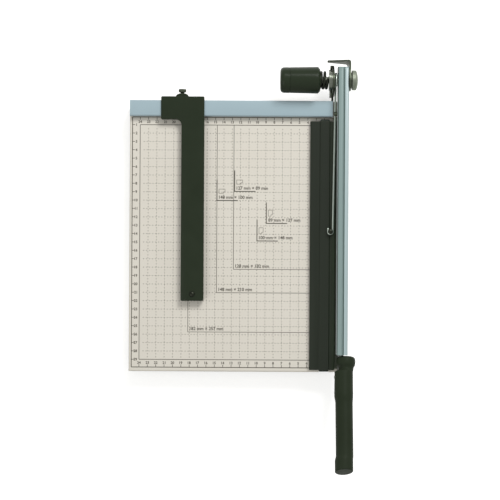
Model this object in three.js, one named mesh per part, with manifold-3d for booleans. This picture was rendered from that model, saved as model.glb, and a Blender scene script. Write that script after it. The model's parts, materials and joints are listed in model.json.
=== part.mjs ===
// Paper cutter: a printed cutting board with a fence, a blade arm on a sprung pivot, a clamp bar
// that a bent wire lifts with the arm, and a paper guide that slides along the fence.
// Millimetres, +Z up. While the pieces are drawn, X = 0 is the cutting plane, Y = 0 the front face
// of the fence and Z = 0 the table; +Y points to the back. The finished group is then moved so
// that its origin lies below the middle of the whole cutter, on the table.
import * as THREE from 'three';
import { mergeVertices, toCreasedNormals } from 'three/addons/utils/BufferGeometryUtils.js';
import Module from 'manifold-3d';

const wasm = await Module();
wasm.setup();

// Shared sizes
const clearance = 0.3;
const overrun = 1;

// Cutting board and the folded tray that carries it
const boardTop = 30;
const cutLength = 300;
const boardWidth = 250;
const boardSideMargin = 2.5;
const boardFrontMargin = 4.3;
const traySheet = 1.2;
const traySkirt = 21;
const trayBendRadius = 2;

// Two angle rails along the tray's lower edges, and the rubber feet pushed into them
const footRailWidth = 18;
const footRailHeight = 4.2;
const footRadius = 9;
const footFlare = 1;
const footNeckRadius = 3.7;
const footHeadRadius = 5.5;
const footHeadHeight = 2.2;
const footInset = 12;

// Fence along the back edge
const fenceDepth = 18.9;
const fenceHeight = 8;
const fenceFrontRadius = 2;
const fenceBackRadius = 0.8;
const fenceLeftInset = 0.5;
const fenceRightInset = 10.6;
const fenceScrewRadius = 1.5;
const fenceScrewHeadRadius = 3.4;
const fenceScrewHeadHeight = 2;
const fenceScrewBite = 5;
const fenceScrewEndInset = 22;
const fenceScrewCount = 3;

// Fixed blade, the rail behind it and their countersunk screws
const fixedBladeThickness = 3;
const fixedBladeHeight = 18;
const fixedBladeCorner = 5;
const fixedBladeScrewCount = 4;
const fixedBladeScrewEndInset = 38;
const railThickness = 4.4;
const railHeight = 15;
const railEndInset = 4;
const screwRadius = 1.9;
const screwHeadRadius = 3.6;
const screwHeadSink = 0.2;
const screwSlotWidth = 0.8;
const screwSlotDepth = 0.9;

// Pivot: its place, bolt and bush
const pivotBehindFence = 23.5;
const pivotAboveBoard = 18;
const liftAngle = THREE.MathUtils.degToRad(70);
const pivotBoltRadius = 4;
const boltHeadRadius = 11.8;
const boltHeadHeight = 7;
const boltHeadRim = 3.8;
const boltWasherRadius = 9.5;
const boltWasherThickness = 0.8;
const bushWall = 0.9;
const bushFlangeRadius = 11.4;
const bushFlangeThickness = 1.9;
const thrustWasherRadius = 12.4;
const thrustWasherThickness = 1.9;

// Pivot bracket: a web under the board and a lug with a rim behind it
const webThickness = 2.2;
const webBottom = 15;
const webHeight = 12;
const webReach = 70;
const webLap = 3;
const lugDepth = 4.5;
const lugTopRadius = 12;
const lugRimRadius = 19.2;
const lugRimThickness = 3;
const lugRimDrop = 6.6;
const lugTopAngle = THREE.MathUtils.degToRad(35);
const bracketBoltHeadRadius = 4;
const bracketBoltHeadHeight = 2.8;
const bracketBoltPlaces = [36, 60];

// Pivot spring and the knob that presses it
const springWireRadius = 1.6;
const springRadius = 9.4;
const springLength = 45.6;
const springClosedPitch = 3.75;
const springActiveTurns = 8;
const springSides = 5;
const springStepsPerTurn = 8;
const knobRadius = 15.8;
const knobEndRadius = 15.2;
const knobEndRound = 5.5;
const knobMouthRadius = 12.8;
const knobMouthLength = 2.4;
const knobMouthOverlap = 10;
const knobSpringGap = 0.5;
const knobEndWall = 2.6;
const knobNutRadius = 7.5;
const knobNutLength = 8.2;

// Blade arm
const armHeight = 20;
const armLeftWall = 5.6;
const armRightWall = 4.4;
const armCap = 3.7;
const armRearOverhang = 15.6;
const armFrontInset = 17.8;
const armEdgeRadius = 1.6;
const armLeftCrown = 1.6;
const armRightCrown = 0.8;
const armEndRadius = 4;
const armGrooveWidth = 1.8;
const armGrooveDepth = 1.2;

// Moving blade
const bladeThickness = 2.5;
const bladeRearOverhang = 8;
const bladeHeelReach = 16;
const bladeHeelSlope = 14;
const bladeHeelDepth = 6;
const bladeTipReach = 3.5;
const bladeTipDepth = 14;
const bladeBelly = 4;
const bladeBevel = 3;
const bladeCorner = 2;
const bladeScrewCount = 4;
const bladeScrewEndInset = 30;
const bladeScrewTipWall = 1.5;
const tangHeight = 11;
const tangLength = 78;

// Handle, tilted upwards from the arm's front end
const handleTilt = THREE.MathUtils.degToRad(16.5);
const handleLength = 138.8;
const handleStartHeight = 46;
const collarRadius = 10.8;
const collarLength = 9.6;
const collarRound = 2.2;
const collarCentre = 5.2;
const handleNeckRadius = 8;
const handleNeckCentre = 6;
const handleNeckLength = 3.6;
const handleNeckStep = 1.8;
const gripRadius = 11.1;
const gripCentre = 3;
const gripWaistRadius = 10.25;
const gripWaistCentre = 3.3;
const gripWaistStart = 43.5;
const gripWaistEnd = 120;
const gripEase = 9;
const gripTipEase = 4;
const gripTipRadius = 10.7;
const gripTipCentre = 2.5;
const gripTipRound = 4.5;
const handlePinRadius = 2;
const handlePinDome = 0.9;
const handlePinRise = 0.2;
const handlePinPlaces = [24, 43];

// Stop plate on the arm's right side
const stopPlateThickness = 2;
const stopPlateRadius = 13;
const stopPlateReach = 23.7;
const stopPlateNeckAngle = THREE.MathUtils.degToRad(45);
const stopTabHeight = 18;
const stopTabTipHeight = 8;
const stopTabBend = 3;
const stopTabOverlap = 3.5;

// Clamp wire: a turn round the pivot, a long leg and a hook
const wireRadius = 1.25;
const wireCoilRadius = 8;
const wireAnchorAngle = THREE.MathUtils.degToRad(160);
const wireAnchorBend = 2;
const wirePlaneGap = 0.65;
const wireSides = 8;
const wireTipLength = 3.5;
const hookReach = 136.6;
const hookInset = 12.9;
const studRadius = 1.2;
const studCollarRadius = 3.4;
const studHeadRadius = 3;
const studHeadHeight = 1.7;
const studBite = 3;

// Press pin on the arm's left side, above the wire
const pressPinRadius = 2.4;
const pressPinReach = 3;
const pressPinOverlap = 3.9;
const pressPinBite = 2.7;

// Clamp bar and the strip under it whose ends bend down through the board
const clampLift = 3;
const barWidth = 30;
const barRightInset = 7;
const barHeight = 5.7;
const barRibHeight = 1;
const barRibWidth = 10.6;
const barRibInset = 14.4;
const barRearInset = 5.2;
const barFrontReach = 1.2;
const barEdgeRadius = 1.2;
const barRoof = 1;
const stripWidth = 10.6;
const stripThickness = 1.5;
const stripBend = 2;
const stripOverhang = 0.7;
const stripLegBottom = 16;
const stripSlotGap = 0.4;
const rivetRadius = 1.2;
const rivetHeadRadius = 2.6;
const rivetHeadHeight = 1.2;
const rivetBite = 1.2;
const rivetEndInset = 24;
const tabStopRadius = 2.5;
const tabStopLength = 3;

// Paper guide
const guideInset = 163.3;
const guideHeadWidth = 51.5;
const guideArmWidth = 27.2;
const guideFrontLip = 4;
const guideRearLip = 4.4;
const guideReach = 219.6;
const guideWall = 2;
const guideFillet = 6.5;
const guideCorner = 1.4;
const guideChamfer = 0.8;
const guideBossInset = 26.4;
const guideBossRadius = 7.6;
const guideBossDepth = 3.9;
const guideRivetRadius = 1.5;
const guideRivetHeadRadius = 3.2;
const guideRivetHeadHeight = 1.8;
const guideRivetInset = 8;
const guidePadRadius = 6;
const guidePadThickness = 1.7;
const guidePadBossRadius = 4.2;

// Thumb screw
const thumbScrewRadius = 2;
const thumbHeadRadius = 4.5;
const thumbHeadLength = 4.3;
const thumbHeadCone = 1;
const thumbHeadGap = 0.6;
const thumbRidgeDepth = 0.35;
const thumbRidgeCount = 16;

// Counts of faces, and the bend from which an edge is shaded sharp
const roundFaces = 24;
const hexagonFaces = 6;
const smallFaces = 14;
const filletSteps = 2;
const domeSteps = 5;
const curveSteps = 24;
const creaseAngle = THREE.MathUtils.degToRad(35);

// Places that follow from the sizes above
const fixedBladeLeft = -fixedBladeThickness;
const trayRight = fixedBladeLeft - clearance;
const trayLeft = -(boardWidth + boardSideMargin);
const trayFront = -(cutLength + boardFrontMargin);
const trayRear = fenceDepth;
const trayBottom = boardTop - traySkirt;
const trayUnderside = boardTop - traySheet;
const railRight = trayRight - traySheet - clearance;
const railLeft = railRight - railThickness;
const railTop = trayUnderside - clearance;
const sideScrewHeight = railTop - railHeight / 2;
const bracketRight = railLeft - clearance;
const webLeft = bracketRight - webThickness;
const lugLeft = bracketRight - lugDepth;
const fenceBottom = boardTop + clearance;
const fenceTop = boardTop + fenceHeight;
const fenceLeft = trayLeft + fenceLeftInset;
const fenceRight = -fenceRightInset;
const pivotY = fenceDepth + pivotBehindFence;
const pivotZ = boardTop + pivotAboveBoard;
const bushRadius = pivotBoltRadius + clearance + bushWall;
const bushFlangeRight = webLeft - clearance;
const bushFlangeLeft = bushFlangeRight - bushFlangeThickness;
const thrustWasherRight = bushFlangeLeft - clearance;
const thrustWasherLeft = thrustWasherRight - thrustWasherThickness;
const springRight = thrustWasherLeft - clearance;
const springLeft = springRight - springLength;
const knobFloor = springLeft - clearance;
const knobRight = springRight - knobMouthOverlap;
const knobNutRight = knobFloor - clearance;
const knobNutLeft = knobNutRight - knobNutLength;
const knobLeft = knobNutLeft - clearance - knobEndWall;
const bladeLeft = clearance;
const bladeRight = bladeLeft + bladeThickness;
const armSlotLeft = bladeLeft - clearance;
const armSlotRight = bladeRight + clearance;
const armLeft = armSlotLeft - armLeftWall;
const armRight = armSlotRight + armRightWall;
const armBottom = pivotZ - armHeight / 2;
const armTop = pivotZ + armHeight / 2;
const armRear = pivotY + armRearOverhang;
const armFront = -(cutLength - armFrontInset);
const armSlotTop = armTop - armCap;
const bladeTop = armSlotTop - clearance;
const bladeTip = -(cutLength + bladeTipReach);
const handleStart = armFront - clearance - collarRadius * Math.sin(handleTilt);
const stopPlateLeft = armRight + clearance;
const stopPlateRight = stopPlateLeft + stopPlateThickness;
const boltWasherLeft = stopPlateRight + clearance;
const boltHeadLeft = boltWasherLeft + boltWasherThickness + clearance;
const wirePlane = bracketRight + wirePlaneGap + wireRadius;
const wireHeight = pivotZ - wireCoilRadius;
const hookRadius = studRadius + clearance + wireRadius;
const barBottom = boardTop + clearance;
const barRight = -barRightInset;
const barLeft = barRight - barWidth;
const barTop = barBottom + barHeight;
const barRibTop = barTop + barRibHeight;
const barRear = -barRearInset;
const barFront = -(cutLength + barFrontReach);
const stripRight = -barRibInset;
const stripLeft = stripRight - stripWidth;
const stripMiddle = (stripLeft + stripRight) / 2;
const stripTop = barTop - barRoof - clearance;
const stripFront = barFront - stripOverhang - stripThickness;
const stripRear = barRear + stripOverhang + stripThickness;
const rivetTip = stripTop + clearance + rivetBite;
const tabStopHeight = trayUnderside - clearance - clampLift - tabStopRadius;
const guideRight = -guideInset;
const guideLeft = guideRight - guideHeadWidth;
const guideArmLeft = guideRight - guideArmWidth;
const guideFront = -guideReach;
const guideHeadFront = -guideFrontLip;
const guideHeadRear = fenceDepth + guideRearLip;
const guideBottom = boardTop + clearance;
const guideRoof = fenceTop + clearance;
const guideTop = guideRoof + guideWall;
const guideRivetX = (guideArmLeft + guideRight) / 2;
const guideRivetY = guideFront + guideRivetInset;
const thumbScrewX = guideRight - guideBossInset;
const thumbScrewZ = (fenceBottom + fenceTop) / 2;
const thumbHeadFront = guideHeadRear + guideBossDepth + thumbHeadGap;

// Solids and geometries

// Turns a closed geometry into a solid that can be joined and cut.
function solid(geometry) {
  geometry.deleteAttribute('normal');
  geometry.deleteAttribute('uv');
  const merged = mergeVertices(geometry);
  const mesh = new wasm.Mesh({
    numProp: 3,
    vertProperties: new Float32Array(merged.attributes.position.array),
    triVerts: new Uint32Array(merged.index.array),
  });
  return new wasm.Manifold(mesh);
}

// Turns a solid back into a geometry whose sharp edges stay sharp when it is shaded.
function geometryOf(body) {
  const mesh = body.getMesh();
  const geometry = new THREE.BufferGeometry();
  geometry.setAttribute('position', new THREE.BufferAttribute(mesh.vertProperties, 3));
  geometry.setIndex(new THREE.BufferAttribute(mesh.triVerts, 1));
  return toCreasedNormals(geometry, creaseAngle);
}

// A closed outline through corners [u, v, radius]; a corner that has a radius becomes an arc.
function outline(corners) {
  const shape = new THREE.Shape();
  corners.forEach(([u, v, radius = 0], index) => {
    const corner = new THREE.Vector2(u, v);
    const before = new THREE.Vector2(...corners.at(index - 1)).sub(corner).normalize();
    const after = new THREE.Vector2(...corners[(index + 1) % corners.length]).sub(corner).normalize();
    if (radius === 0) {
      if (index === 0) shape.moveTo(u, v);
      else shape.lineTo(u, v);
      return;
    }
    const halfAngle = Math.acos(before.dot(after)) / 2;
    const start = before.clone().multiplyScalar(radius / Math.tan(halfAngle)).add(corner);
    const end = after.clone().multiplyScalar(radius / Math.tan(halfAngle)).add(corner);
    const reach = radius / Math.sin(halfAngle);
    const centre = before.clone().add(after).normalize().multiplyScalar(reach).add(corner);
    if (index > 0) shape.lineTo(start.x, start.y);
    const startAngle = start.sub(centre).angle();
    const endAngle = end.sub(centre).angle();
    shape.absarc(centre.x, centre.y, radius, startAngle, endAngle, after.cross(before) < 0);
  });
  return shape;
}

function rectangle(u0, v0, u1, v1, radius = 0) {
  return outline([[u0, v0, radius], [u1, v0, radius], [u1, v1, radius], [u0, v1, radius]]);
}

// A prism along x, y or z; its outline's (u, v) are then (y, z), (x, z) or (x, y).
function prism(shape, axis, from, to, steps = filletSteps, bevel = 0) {
  const geometry = new THREE.ExtrudeGeometry(shape, {
    depth: to - from - 2 * bevel,
    curveSegments: steps,
    bevelEnabled: bevel > 0,
    bevelSize: bevel,
    bevelOffset: -bevel,
    bevelThickness: bevel,
    bevelSegments: filletSteps,
  });
  geometry.translate(0, 0, bevel);
  if (axis === 'x') {
    const basis = [new THREE.Vector3(0, 1, 0), new THREE.Vector3(0, 0, 1), new THREE.Vector3(1, 0, 0)];
    geometry.applyMatrix4(new THREE.Matrix4().makeBasis(...basis));
    geometry.translate(from, 0, 0);
  } else if (axis === 'y') {
    geometry.rotateX(Math.PI / 2);
    geometry.translate(0, to, 0);
  } else {
    geometry.translate(0, 0, from);
  }
  return solid(geometry);
}

function block(x0, x1, y0, y1, z0, z1) {
  const geometry = new THREE.BoxGeometry(x1 - x0, y1 - y0, z1 - z0);
  geometry.translate((x0 + x1) / 2, (y0 + y1) / 2, (z0 + z1) / 2);
  return solid(geometry);
}

// Turns a geometry whose axis is +Y so that the axis points along x, y or z, and places it.
function placed(geometry, axis, x, y, z) {
  if (axis === 'x') geometry.rotateZ(-Math.PI / 2);
  if (axis === 'z') geometry.rotateX(Math.PI / 2);
  geometry.translate(x, y, z);
  return solid(geometry);
}

// A turned piece. The profile is a list of [radius, place along the axis], upwards, and its
// first and last points lie on the axis.
function turned(profile, axis, x, y, z, faces = roundFaces) {
  const points = profile.map(([radius, along]) => new THREE.Vector2(radius, along));
  return placed(new THREE.LatheGeometry(points, faces), axis, x, y, z);
}

// A round bar or hole between two places along its axis.
function rod(axis, radius, from, to, x, y, z, faces = smallFaces) {
  return turned([[0, from], [radius, from], [radius, to], [0, to]], axis, x, y, z, faces);
}

// The quarter circle of a rounded rim as [radius, place] pairs, from or to the place where the
// radius is full; turning 1 starts a piece and -1 ends it.
function rim(radius, place, round, turning) {
  const points = [];
  for (let step = 0; step <= domeSteps; step += 1) {
    const angle = (step / domeSteps) * (Math.PI / 2);
    points.push([radius - round * (1 - Math.cos(angle)), place - turning * round * Math.sin(angle)]);
  }
  return turning < 0 ? points : points.reverse();
}

// The upper half of a dome from its foot to its top on the axis, as [radius, place] pairs.
function dome(radius, foot, height) {
  const points = [];
  for (let step = 0; step < domeSteps; step += 1) {
    const angle = (step / domeSteps) * (Math.PI / 2);
    points.push([radius * Math.cos(angle), foot + height * Math.sin(angle)]);
  }
  return [...points, [0, foot + height]];
}

// A skin over rings with the same number of points each, closed by a fan at both ends.
function skin(rings) {
  const sides = rings[0].length;
  const sum = (ring) => ring.reduce((total, point) => total.add(point), new THREE.Vector3());
  const middle = (ring) => sum(ring).divideScalar(sides);
  const points = [...rings.flat(), middle(rings[0]), middle(rings.at(-1))];
  const firstMiddle = rings.length * sides;
  const lastRing = (rings.length - 1) * sides;
  const triangles = [];
  for (let side = 0; side < sides; side += 1) {
    const next = (side + 1) % sides;
    triangles.push(firstMiddle, next, side);
    triangles.push(firstMiddle + 1, lastRing + side, lastRing + next);
    for (let start = 0; start < lastRing; start += sides) {
      triangles.push(start + side, start + next, start + sides + next);
      triangles.push(start + side, start + sides + next, start + sides + side);
    }
  }
  const geometry = new THREE.BufferGeometry().setFromPoints(points);
  geometry.setIndex(triangles);
  return solid(geometry);
}

// A round wire along a list of points; each ring is turned as little as possible from the last.
function wireAlong(points, radius, sides) {
  const normal = new THREE.Vector3();
  const rings = points.map((point, index) => {
    const ahead = points[Math.min(index + 1, points.length - 1)];
    const behind = points[Math.max(index - 1, 0)];
    const tangent = ahead.clone().sub(behind).normalize();
    if (index === 0) normal.set(tangent.z, tangent.x, tangent.y).cross(tangent);
    normal.addScaledVector(tangent, -normal.dot(tangent)).normalize();
    const across = tangent.clone().cross(normal);
    return Array.from({ length: sides }, (_, side) => {
      const angle = (side / sides) * 2 * Math.PI;
      return point.clone().addScaledVector(normal, radius * Math.cos(angle))
        .addScaledVector(across, radius * Math.sin(angle));
    });
  });
  return skin(rings);
}

// Places that are spread evenly from one end to the other.
function spread(from, to, count) {
  return Array.from({ length: count }, (_, index) => from + ((to - from) * index) / (count - 1));
}

const fixedBladeScrewPlaces = spread(
  trayFront + fixedBladeScrewEndInset,
  trayRear - fixedBladeScrewEndInset,
  fixedBladeScrewCount,
);
const fenceScrewPlaces = spread(
  fenceLeft + fenceScrewEndInset,
  fenceRight - fenceScrewEndInset,
  fenceScrewCount,
);
const bladeScrewPlaces = spread(armFront + bladeScrewEndInset, -bladeScrewEndInset, bladeScrewCount);
const footPlaces = {
  front_left: [trayLeft + footInset, trayFront + footInset],
  front_right: [trayRight - footInset, trayFront + footInset],
  rear_left: [trayLeft + footInset, trayRear - footInset],
  rear_right: [trayRight - footInset, trayRear - footInset],
};

// Base: tray, foot rails and feet, fence, fixed blade and its rail

// The tray's outer or inner form: rounded along its four upper edges.
function trayForm(inset, bottom) {
  const radius = trayBendRadius - inset;
  const top = boardTop - inset;
  const across = outline([
    [trayLeft + inset, bottom],
    [trayRight - inset, bottom],
    [trayRight - inset, top, radius],
    [trayLeft + inset, top, radius],
  ]);
  const along = outline([
    [trayFront + inset, bottom],
    [trayRear - inset, bottom],
    [trayRear - inset, top, radius],
    [trayFront + inset, top, radius],
  ]);
  return prism(across, 'y', trayFront, trayRear).intersect(prism(along, 'x', trayLeft, trayRight));
}

function basePlate() {
  const cuts = [
    trayForm(traySheet, trayBottom - overrun),
    block(
      stripLeft - stripSlotGap, stripRight + stripSlotGap,
      trayFront - overrun, stripFront + stripThickness + stripSlotGap,
      stripLegBottom - stripSlotGap, boardTop + overrun,
    ),
    block(
      stripLeft - stripSlotGap, stripRight + stripSlotGap,
      stripRear - stripThickness - stripSlotGap, stripRear + stripSlotGap,
      trayUnderside - overrun, boardTop + overrun,
    ),
    block(
      webLeft - clearance, bracketRight + clearance,
      trayRear - traySheet - overrun, trayRear + overrun,
      webBottom - clearance, webBottom + webHeight + clearance,
    ),
  ];
  for (const y of fixedBladeScrewPlaces) {
    cuts.push(rod('x', screwRadius + clearance, railRight, trayRight + overrun, 0, y, sideScrewHeight));
  }
  for (const x of fenceScrewPlaces) {
    const from = trayUnderside - overrun;
    cuts.push(rod('z', fenceScrewRadius + clearance, from, boardTop + overrun, x, fenceDepth / 2, 0));
  }
  return trayForm(0, trayBottom).subtract(wasm.Manifold.union(cuts));
}

// An angle rail against one side of the tray; inwards is 1 for the left side and -1 for the right.
function footRail(side, inwards) {
  const outer = side + inwards * (traySheet + clearance);
  const top = trayBottom + traySheet;
  const section = [
    [outer, trayBottom],
    [outer + inwards * footRailWidth, trayBottom],
    [outer + inwards * footRailWidth, top],
    [outer + inwards * traySheet, top],
    [outer + inwards * traySheet, trayBottom + footRailHeight],
    [outer, trayBottom + footRailHeight],
  ];
  if (inwards < 0) section.reverse();
  const holes = Object.values(footPlaces).map(([x, y]) => rod(
    'z', footNeckRadius + clearance, trayBottom - overrun, top + overrun, x, y, 0,
  ));
  return prism(outline(section), 'y', trayFront + traySheet + clearance, trayRear - traySheet - clearance)
    .subtract(wasm.Manifold.union(holes));
}

function foot(x, y) {
  const seat = trayBottom - clearance;
  const grip = trayBottom + traySheet + clearance;
  const profile = [
    [0, 0],
    [footRadius, 0],
    [footRadius + footFlare, footFlare],
    [footRadius, seat],
    [footNeckRadius, seat],
    [footNeckRadius, grip],
    [footHeadRadius, grip],
    [footNeckRadius, grip + footHeadHeight],
    [0, grip + footHeadHeight],
  ];
  return turned(profile, 'z', x, y, 0);
}

function fence() {
  const section = outline([
    [0, fenceBottom],
    [fenceDepth, fenceBottom],
    [fenceDepth, fenceTop, fenceBackRadius],
    [0, fenceTop, fenceFrontRadius],
  ]);
  const holes = fenceScrewPlaces.map((x) => rod(
    'z', fenceScrewRadius + clearance,
    fenceBottom - overrun, fenceBottom + fenceScrewBite + clearance,
    x, fenceDepth / 2, 0,
  ));
  return prism(section, 'x', fenceLeft, fenceRight).subtract(wasm.Manifold.union(holes));
}

function fenceScrew(x) {
  const seat = trayUnderside - clearance;
  const profile = [
    [0, seat - fenceScrewHeadHeight],
    [fenceScrewHeadRadius, seat - fenceScrewHeadHeight],
    [fenceScrewHeadRadius, seat],
    [fenceScrewRadius, seat],
    [fenceScrewRadius, fenceBottom + fenceScrewBite],
    [0, fenceBottom + fenceScrewBite],
  ];
  return turned(profile, 'z', x, fenceDepth / 2, 0, smallFaces);
}

// A slotted countersunk screw along x whose head ends a little inside the face it is driven into.
function countersunkScrew(tip, face, y, z) {
  const headRight = face - screwHeadSink;
  const headLeft = headRight - (screwHeadRadius - screwRadius);
  const profile = [
    [0, tip],
    [screwRadius, tip],
    [screwRadius, headLeft],
    [screwHeadRadius, headRight],
    [0, headRight],
  ];
  const slot = block(
    headRight - screwSlotDepth, headRight + overrun,
    y - screwHeadRadius, y + screwHeadRadius,
    z - screwSlotWidth / 2, z + screwSlotWidth / 2,
  );
  return turned(profile, 'x', 0, y, z, smallFaces).subtract(slot);
}

// The hole for that screw, with room all round it.
function countersunkHole(tip, face, y, z) {
  const radius = screwRadius + clearance;
  const headRadius = screwHeadRadius + clearance;
  const depth = headRadius - radius;
  const profile = [
    [0, tip - clearance],
    [radius, tip - clearance],
    [radius, face - depth],
    [headRadius, face],
    [headRadius, face + overrun],
    [0, face + overrun],
  ];
  return turned(profile, 'x', 0, y, z, smallFaces);
}

function fixedBlade() {
  const bottom = boardTop - fixedBladeHeight;
  const side = outline([
    [trayFront, bottom, fixedBladeCorner],
    [trayRear, bottom, fixedBladeCorner],
    [trayRear, boardTop],
    [trayFront, boardTop],
  ]);
  const holes = fixedBladeScrewPlaces.map((y) => countersunkHole(railLeft, 0, y, sideScrewHeight));
  return prism(side, 'x', fixedBladeLeft, 0).subtract(wasm.Manifold.union(holes));
}

function bladeRail() {
  const front = trayFront + traySheet + railEndInset;
  const rear = trayRear - traySheet - railEndInset;
  const places = [...fixedBladeScrewPlaces, ...bracketBoltPlaces.map((reach) => -reach)];
  const holes = places.map((y) => rod(
    'x', screwRadius + clearance, railLeft - overrun, railRight + overrun, 0, y, sideScrewHeight,
  ));
  return block(railLeft, railRight, front, rear, railTop - railHeight, railTop)
    .subtract(wasm.Manifold.union(holes));
}

// Pivot bracket with its bolts, bush, washer and spring

// The stop shoulder stands where the tab's lower corner arrives when the arm is fully raised.
function stopShoulder() {
  const reach = stopPlateReach - stopPlateThickness;
  const cornerRadius = Math.hypot(reach, stopTabHeight / 2);
  const cornerAngle = Math.atan2(stopTabHeight / 2, reach);
  return pivotY + cornerRadius * Math.cos(cornerAngle + liftAngle) - clearance;
}

function pivotBracket() {
  const shoulder = stopShoulder() - pivotY;
  const foot = webBottom - pivotZ;
  const flank = Math.sqrt(lugRimRadius ** 2 - lugRimDrop ** 2);
  const lug = new THREE.Shape();
  lug.moveTo(-flank, foot);
  lug.lineTo(shoulder, foot);
  lug.absarc(0, 0, lugRimRadius, -Math.acos(shoulder / lugRimRadius), -Math.asin(lugRimDrop / lugRimRadius));
  lug.absarc(0, 0, lugTopRadius, lugTopAngle, Math.PI - lugTopAngle);
  lug.lineTo(-flank, -lugRimDrop);
  const pocketLeft = lugLeft - overrun;
  const pocket = rod('x', lugRimRadius - lugRimThickness, pocketLeft, webLeft, 0, 0, 0, roundFaces)
    .add(block(pocketLeft, webLeft, -lugRimRadius, lugRimRadius, -lugRimDrop, lugTopRadius + overrun));
  const ear = prism(lug, 'x', lugLeft, bracketRight, domeSteps)
    .subtract(pocket)
    .translate([0, pivotY, pivotZ]);
  const web = rectangle(-webReach, webBottom, pivotY - flank + webLap, webBottom + webHeight);
  const anchor = anchorPoint(wireAnchorAngle, 0);
  const span = [webLeft - overrun, bracketRight + overrun];
  const holes = [
    rod('x', bushRadius + clearance, ...span, 0, pivotY, pivotZ, roundFaces),
    rod('x', wireRadius + clearance, ...span, 0, anchor.y, anchor.z),
    ...bracketBoltPlaces.map((reach) => (
      rod('x', screwRadius + clearance, ...span, 0, -reach, sideScrewHeight)
    )),
  ];
  return ear.add(prism(web, 'x', webLeft, bracketRight)).subtract(wasm.Manifold.union(holes));
}

function bracketBolt(reach) {
  const headRight = webLeft - clearance;
  const headLeft = headRight - bracketBoltHeadHeight;
  const tip = railRight - clearance;
  return rod('x', bracketBoltHeadRadius, headLeft, headRight, 0, -reach, sideScrewHeight, hexagonFaces)
    .add(rod('x', screwRadius, headLeft + overrun, tip, 0, -reach, sideScrewHeight));
}

function pivotBush() {
  const profile = [
    [0, bushFlangeLeft],
    [bushFlangeRadius, bushFlangeLeft],
    [bushFlangeRadius, bushFlangeRight],
    [bushRadius, bushFlangeRight],
    [bushRadius, armLeft - clearance],
    [0, armLeft - clearance],
  ];
  return turned(profile, 'x', 0, pivotY, pivotZ).subtract(boltHole());
}

function thrustWasher() {
  const disc = rod(
    'x', thrustWasherRadius, thrustWasherLeft, thrustWasherRight, 0, pivotY, pivotZ, roundFaces,
  );
  return disc.subtract(boltHole());
}

function boltHole() {
  return rod('x', pivotBoltRadius + clearance, knobLeft, boltHeadLeft, 0, pivotY, pivotZ, roundFaces);
}

// The spring's centre line: a closed turn at each end and open turns between them.
function springPath() {
  const steps = (springActiveTurns + 2) * springStepsPerTurn;
  const from = springRight - springWireRadius;
  const activePitch = (springLength - 2 * springWireRadius - 2 * springClosedPitch) / springActiveTurns;
  return Array.from({ length: steps + 1 }, (_, step) => {
    const turn = step / springStepsPerTurn;
    const closed = Math.min(turn, 1) + Math.max(turn - springActiveTurns - 1, 0);
    const angle = Math.PI / 2 + turn * 2 * Math.PI;
    return new THREE.Vector3(
      from - closed * springClosedPitch - (turn - closed) * activePitch,
      pivotY + springRadius * Math.cos(angle),
      pivotZ + springRadius * Math.sin(angle),
    );
  });
}

// The smallest gap between wire that lies more than half a turn apart, measured on points.
function leastSelfGap(path, radius, stepsApart) {
  let least = Infinity;
  path.forEach((point, index) => {
    for (const other of path.slice(index + stepsApart)) least = Math.min(least, point.distanceTo(other));
  });
  return least - 2 * radius;
}

// Clamp wire

// A point on the wire's turn round the pivot, some way to the left of the turn's plane.
function anchorPoint(angle, left) {
  return new THREE.Vector3(
    wirePlane - left,
    pivotY + wireCoilRadius * Math.cos(angle),
    pivotZ + wireCoilRadius * Math.sin(angle),
  );
}

function clampWirePath() {
  const points = [anchorPoint(wireAnchorAngle, wirePlane - webLeft)];
  const bendEnd = wireAnchorAngle - wireAnchorBend / wireCoilRadius;
  for (const turn of spread(0, Math.PI / 2, domeSteps)) {
    const along = wireAnchorBend * (1 - Math.cos(turn));
    points.push(anchorPoint(wireAnchorAngle - along / wireCoilRadius, wireAnchorBend * (1 - Math.sin(turn))));
  }
  for (const angle of spread(bendEnd, -Math.PI / 2, roundFaces).slice(1)) points.push(anchorPoint(angle, 0));
  for (const angle of spread(0, -Math.PI, 2 * domeSteps)) {
    points.push(new THREE.Vector3(
      -hookInset + hookRadius * Math.cos(angle),
      -hookReach + hookRadius * Math.sin(angle),
      wireHeight,
    ));
  }
  points.push(points.at(-1).clone().add(new THREE.Vector3(0, wireTipLength, 0)));
  return points;
}

// Arm, moving blade and handle

function armBar() {
  const grooveMiddle = (armLeft + armRight) / 2;
  const section = outline([
    [armLeft, armBottom],
    [armSlotLeft, armBottom],
    [armSlotLeft, armSlotTop],
    [armSlotRight, armSlotTop],
    [armSlotRight, armBottom],
    [armRight, armBottom],
    [armRight, armTop - armRightCrown, armEdgeRadius],
    [grooveMiddle + armGrooveWidth / 2, armTop],
    [grooveMiddle + armGrooveWidth / 2, armTop - armGrooveDepth],
    [grooveMiddle - armGrooveWidth / 2, armTop - armGrooveDepth],
    [grooveMiddle - armGrooveWidth / 2, armTop],
    [armLeft, armTop - armLeftCrown, armEdgeRadius],
  ]);
  const side = outline([
    [armFront, armBottom - overrun],
    [armRear, armBottom, armEndRadius],
    [armRear, armTop, armEndRadius],
    [armFront, armTop + overrun],
  ]);
  const screwTip = armLeft + bladeScrewTipWall;
  const holes = bladeScrewPlaces.map((y) => countersunkHole(screwTip, armRight, y, pivotZ));
  holes.push(rod(
    'x', pressPinRadius + clearance, armLeft - overrun, armLeft + pressPinBite + clearance,
    0, pressPinReach, pressPinHeight(),
  ));
  return prism(section, 'y', armFront, armRear)
    .intersect(prism(side, 'x', armLeft, armRight))
    .subtract(boltHole())
    .subtract(wasm.Manifold.union(holes));
}

// A point of the handle's axis, some way from its start, and some way above the axis.
function handlePoint(along, above) {
  return [
    handleStart - along * Math.cos(handleTilt) + above * Math.sin(handleTilt),
    handleStartHeight + along * Math.sin(handleTilt) + above * Math.cos(handleTilt),
  ];
}

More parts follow.
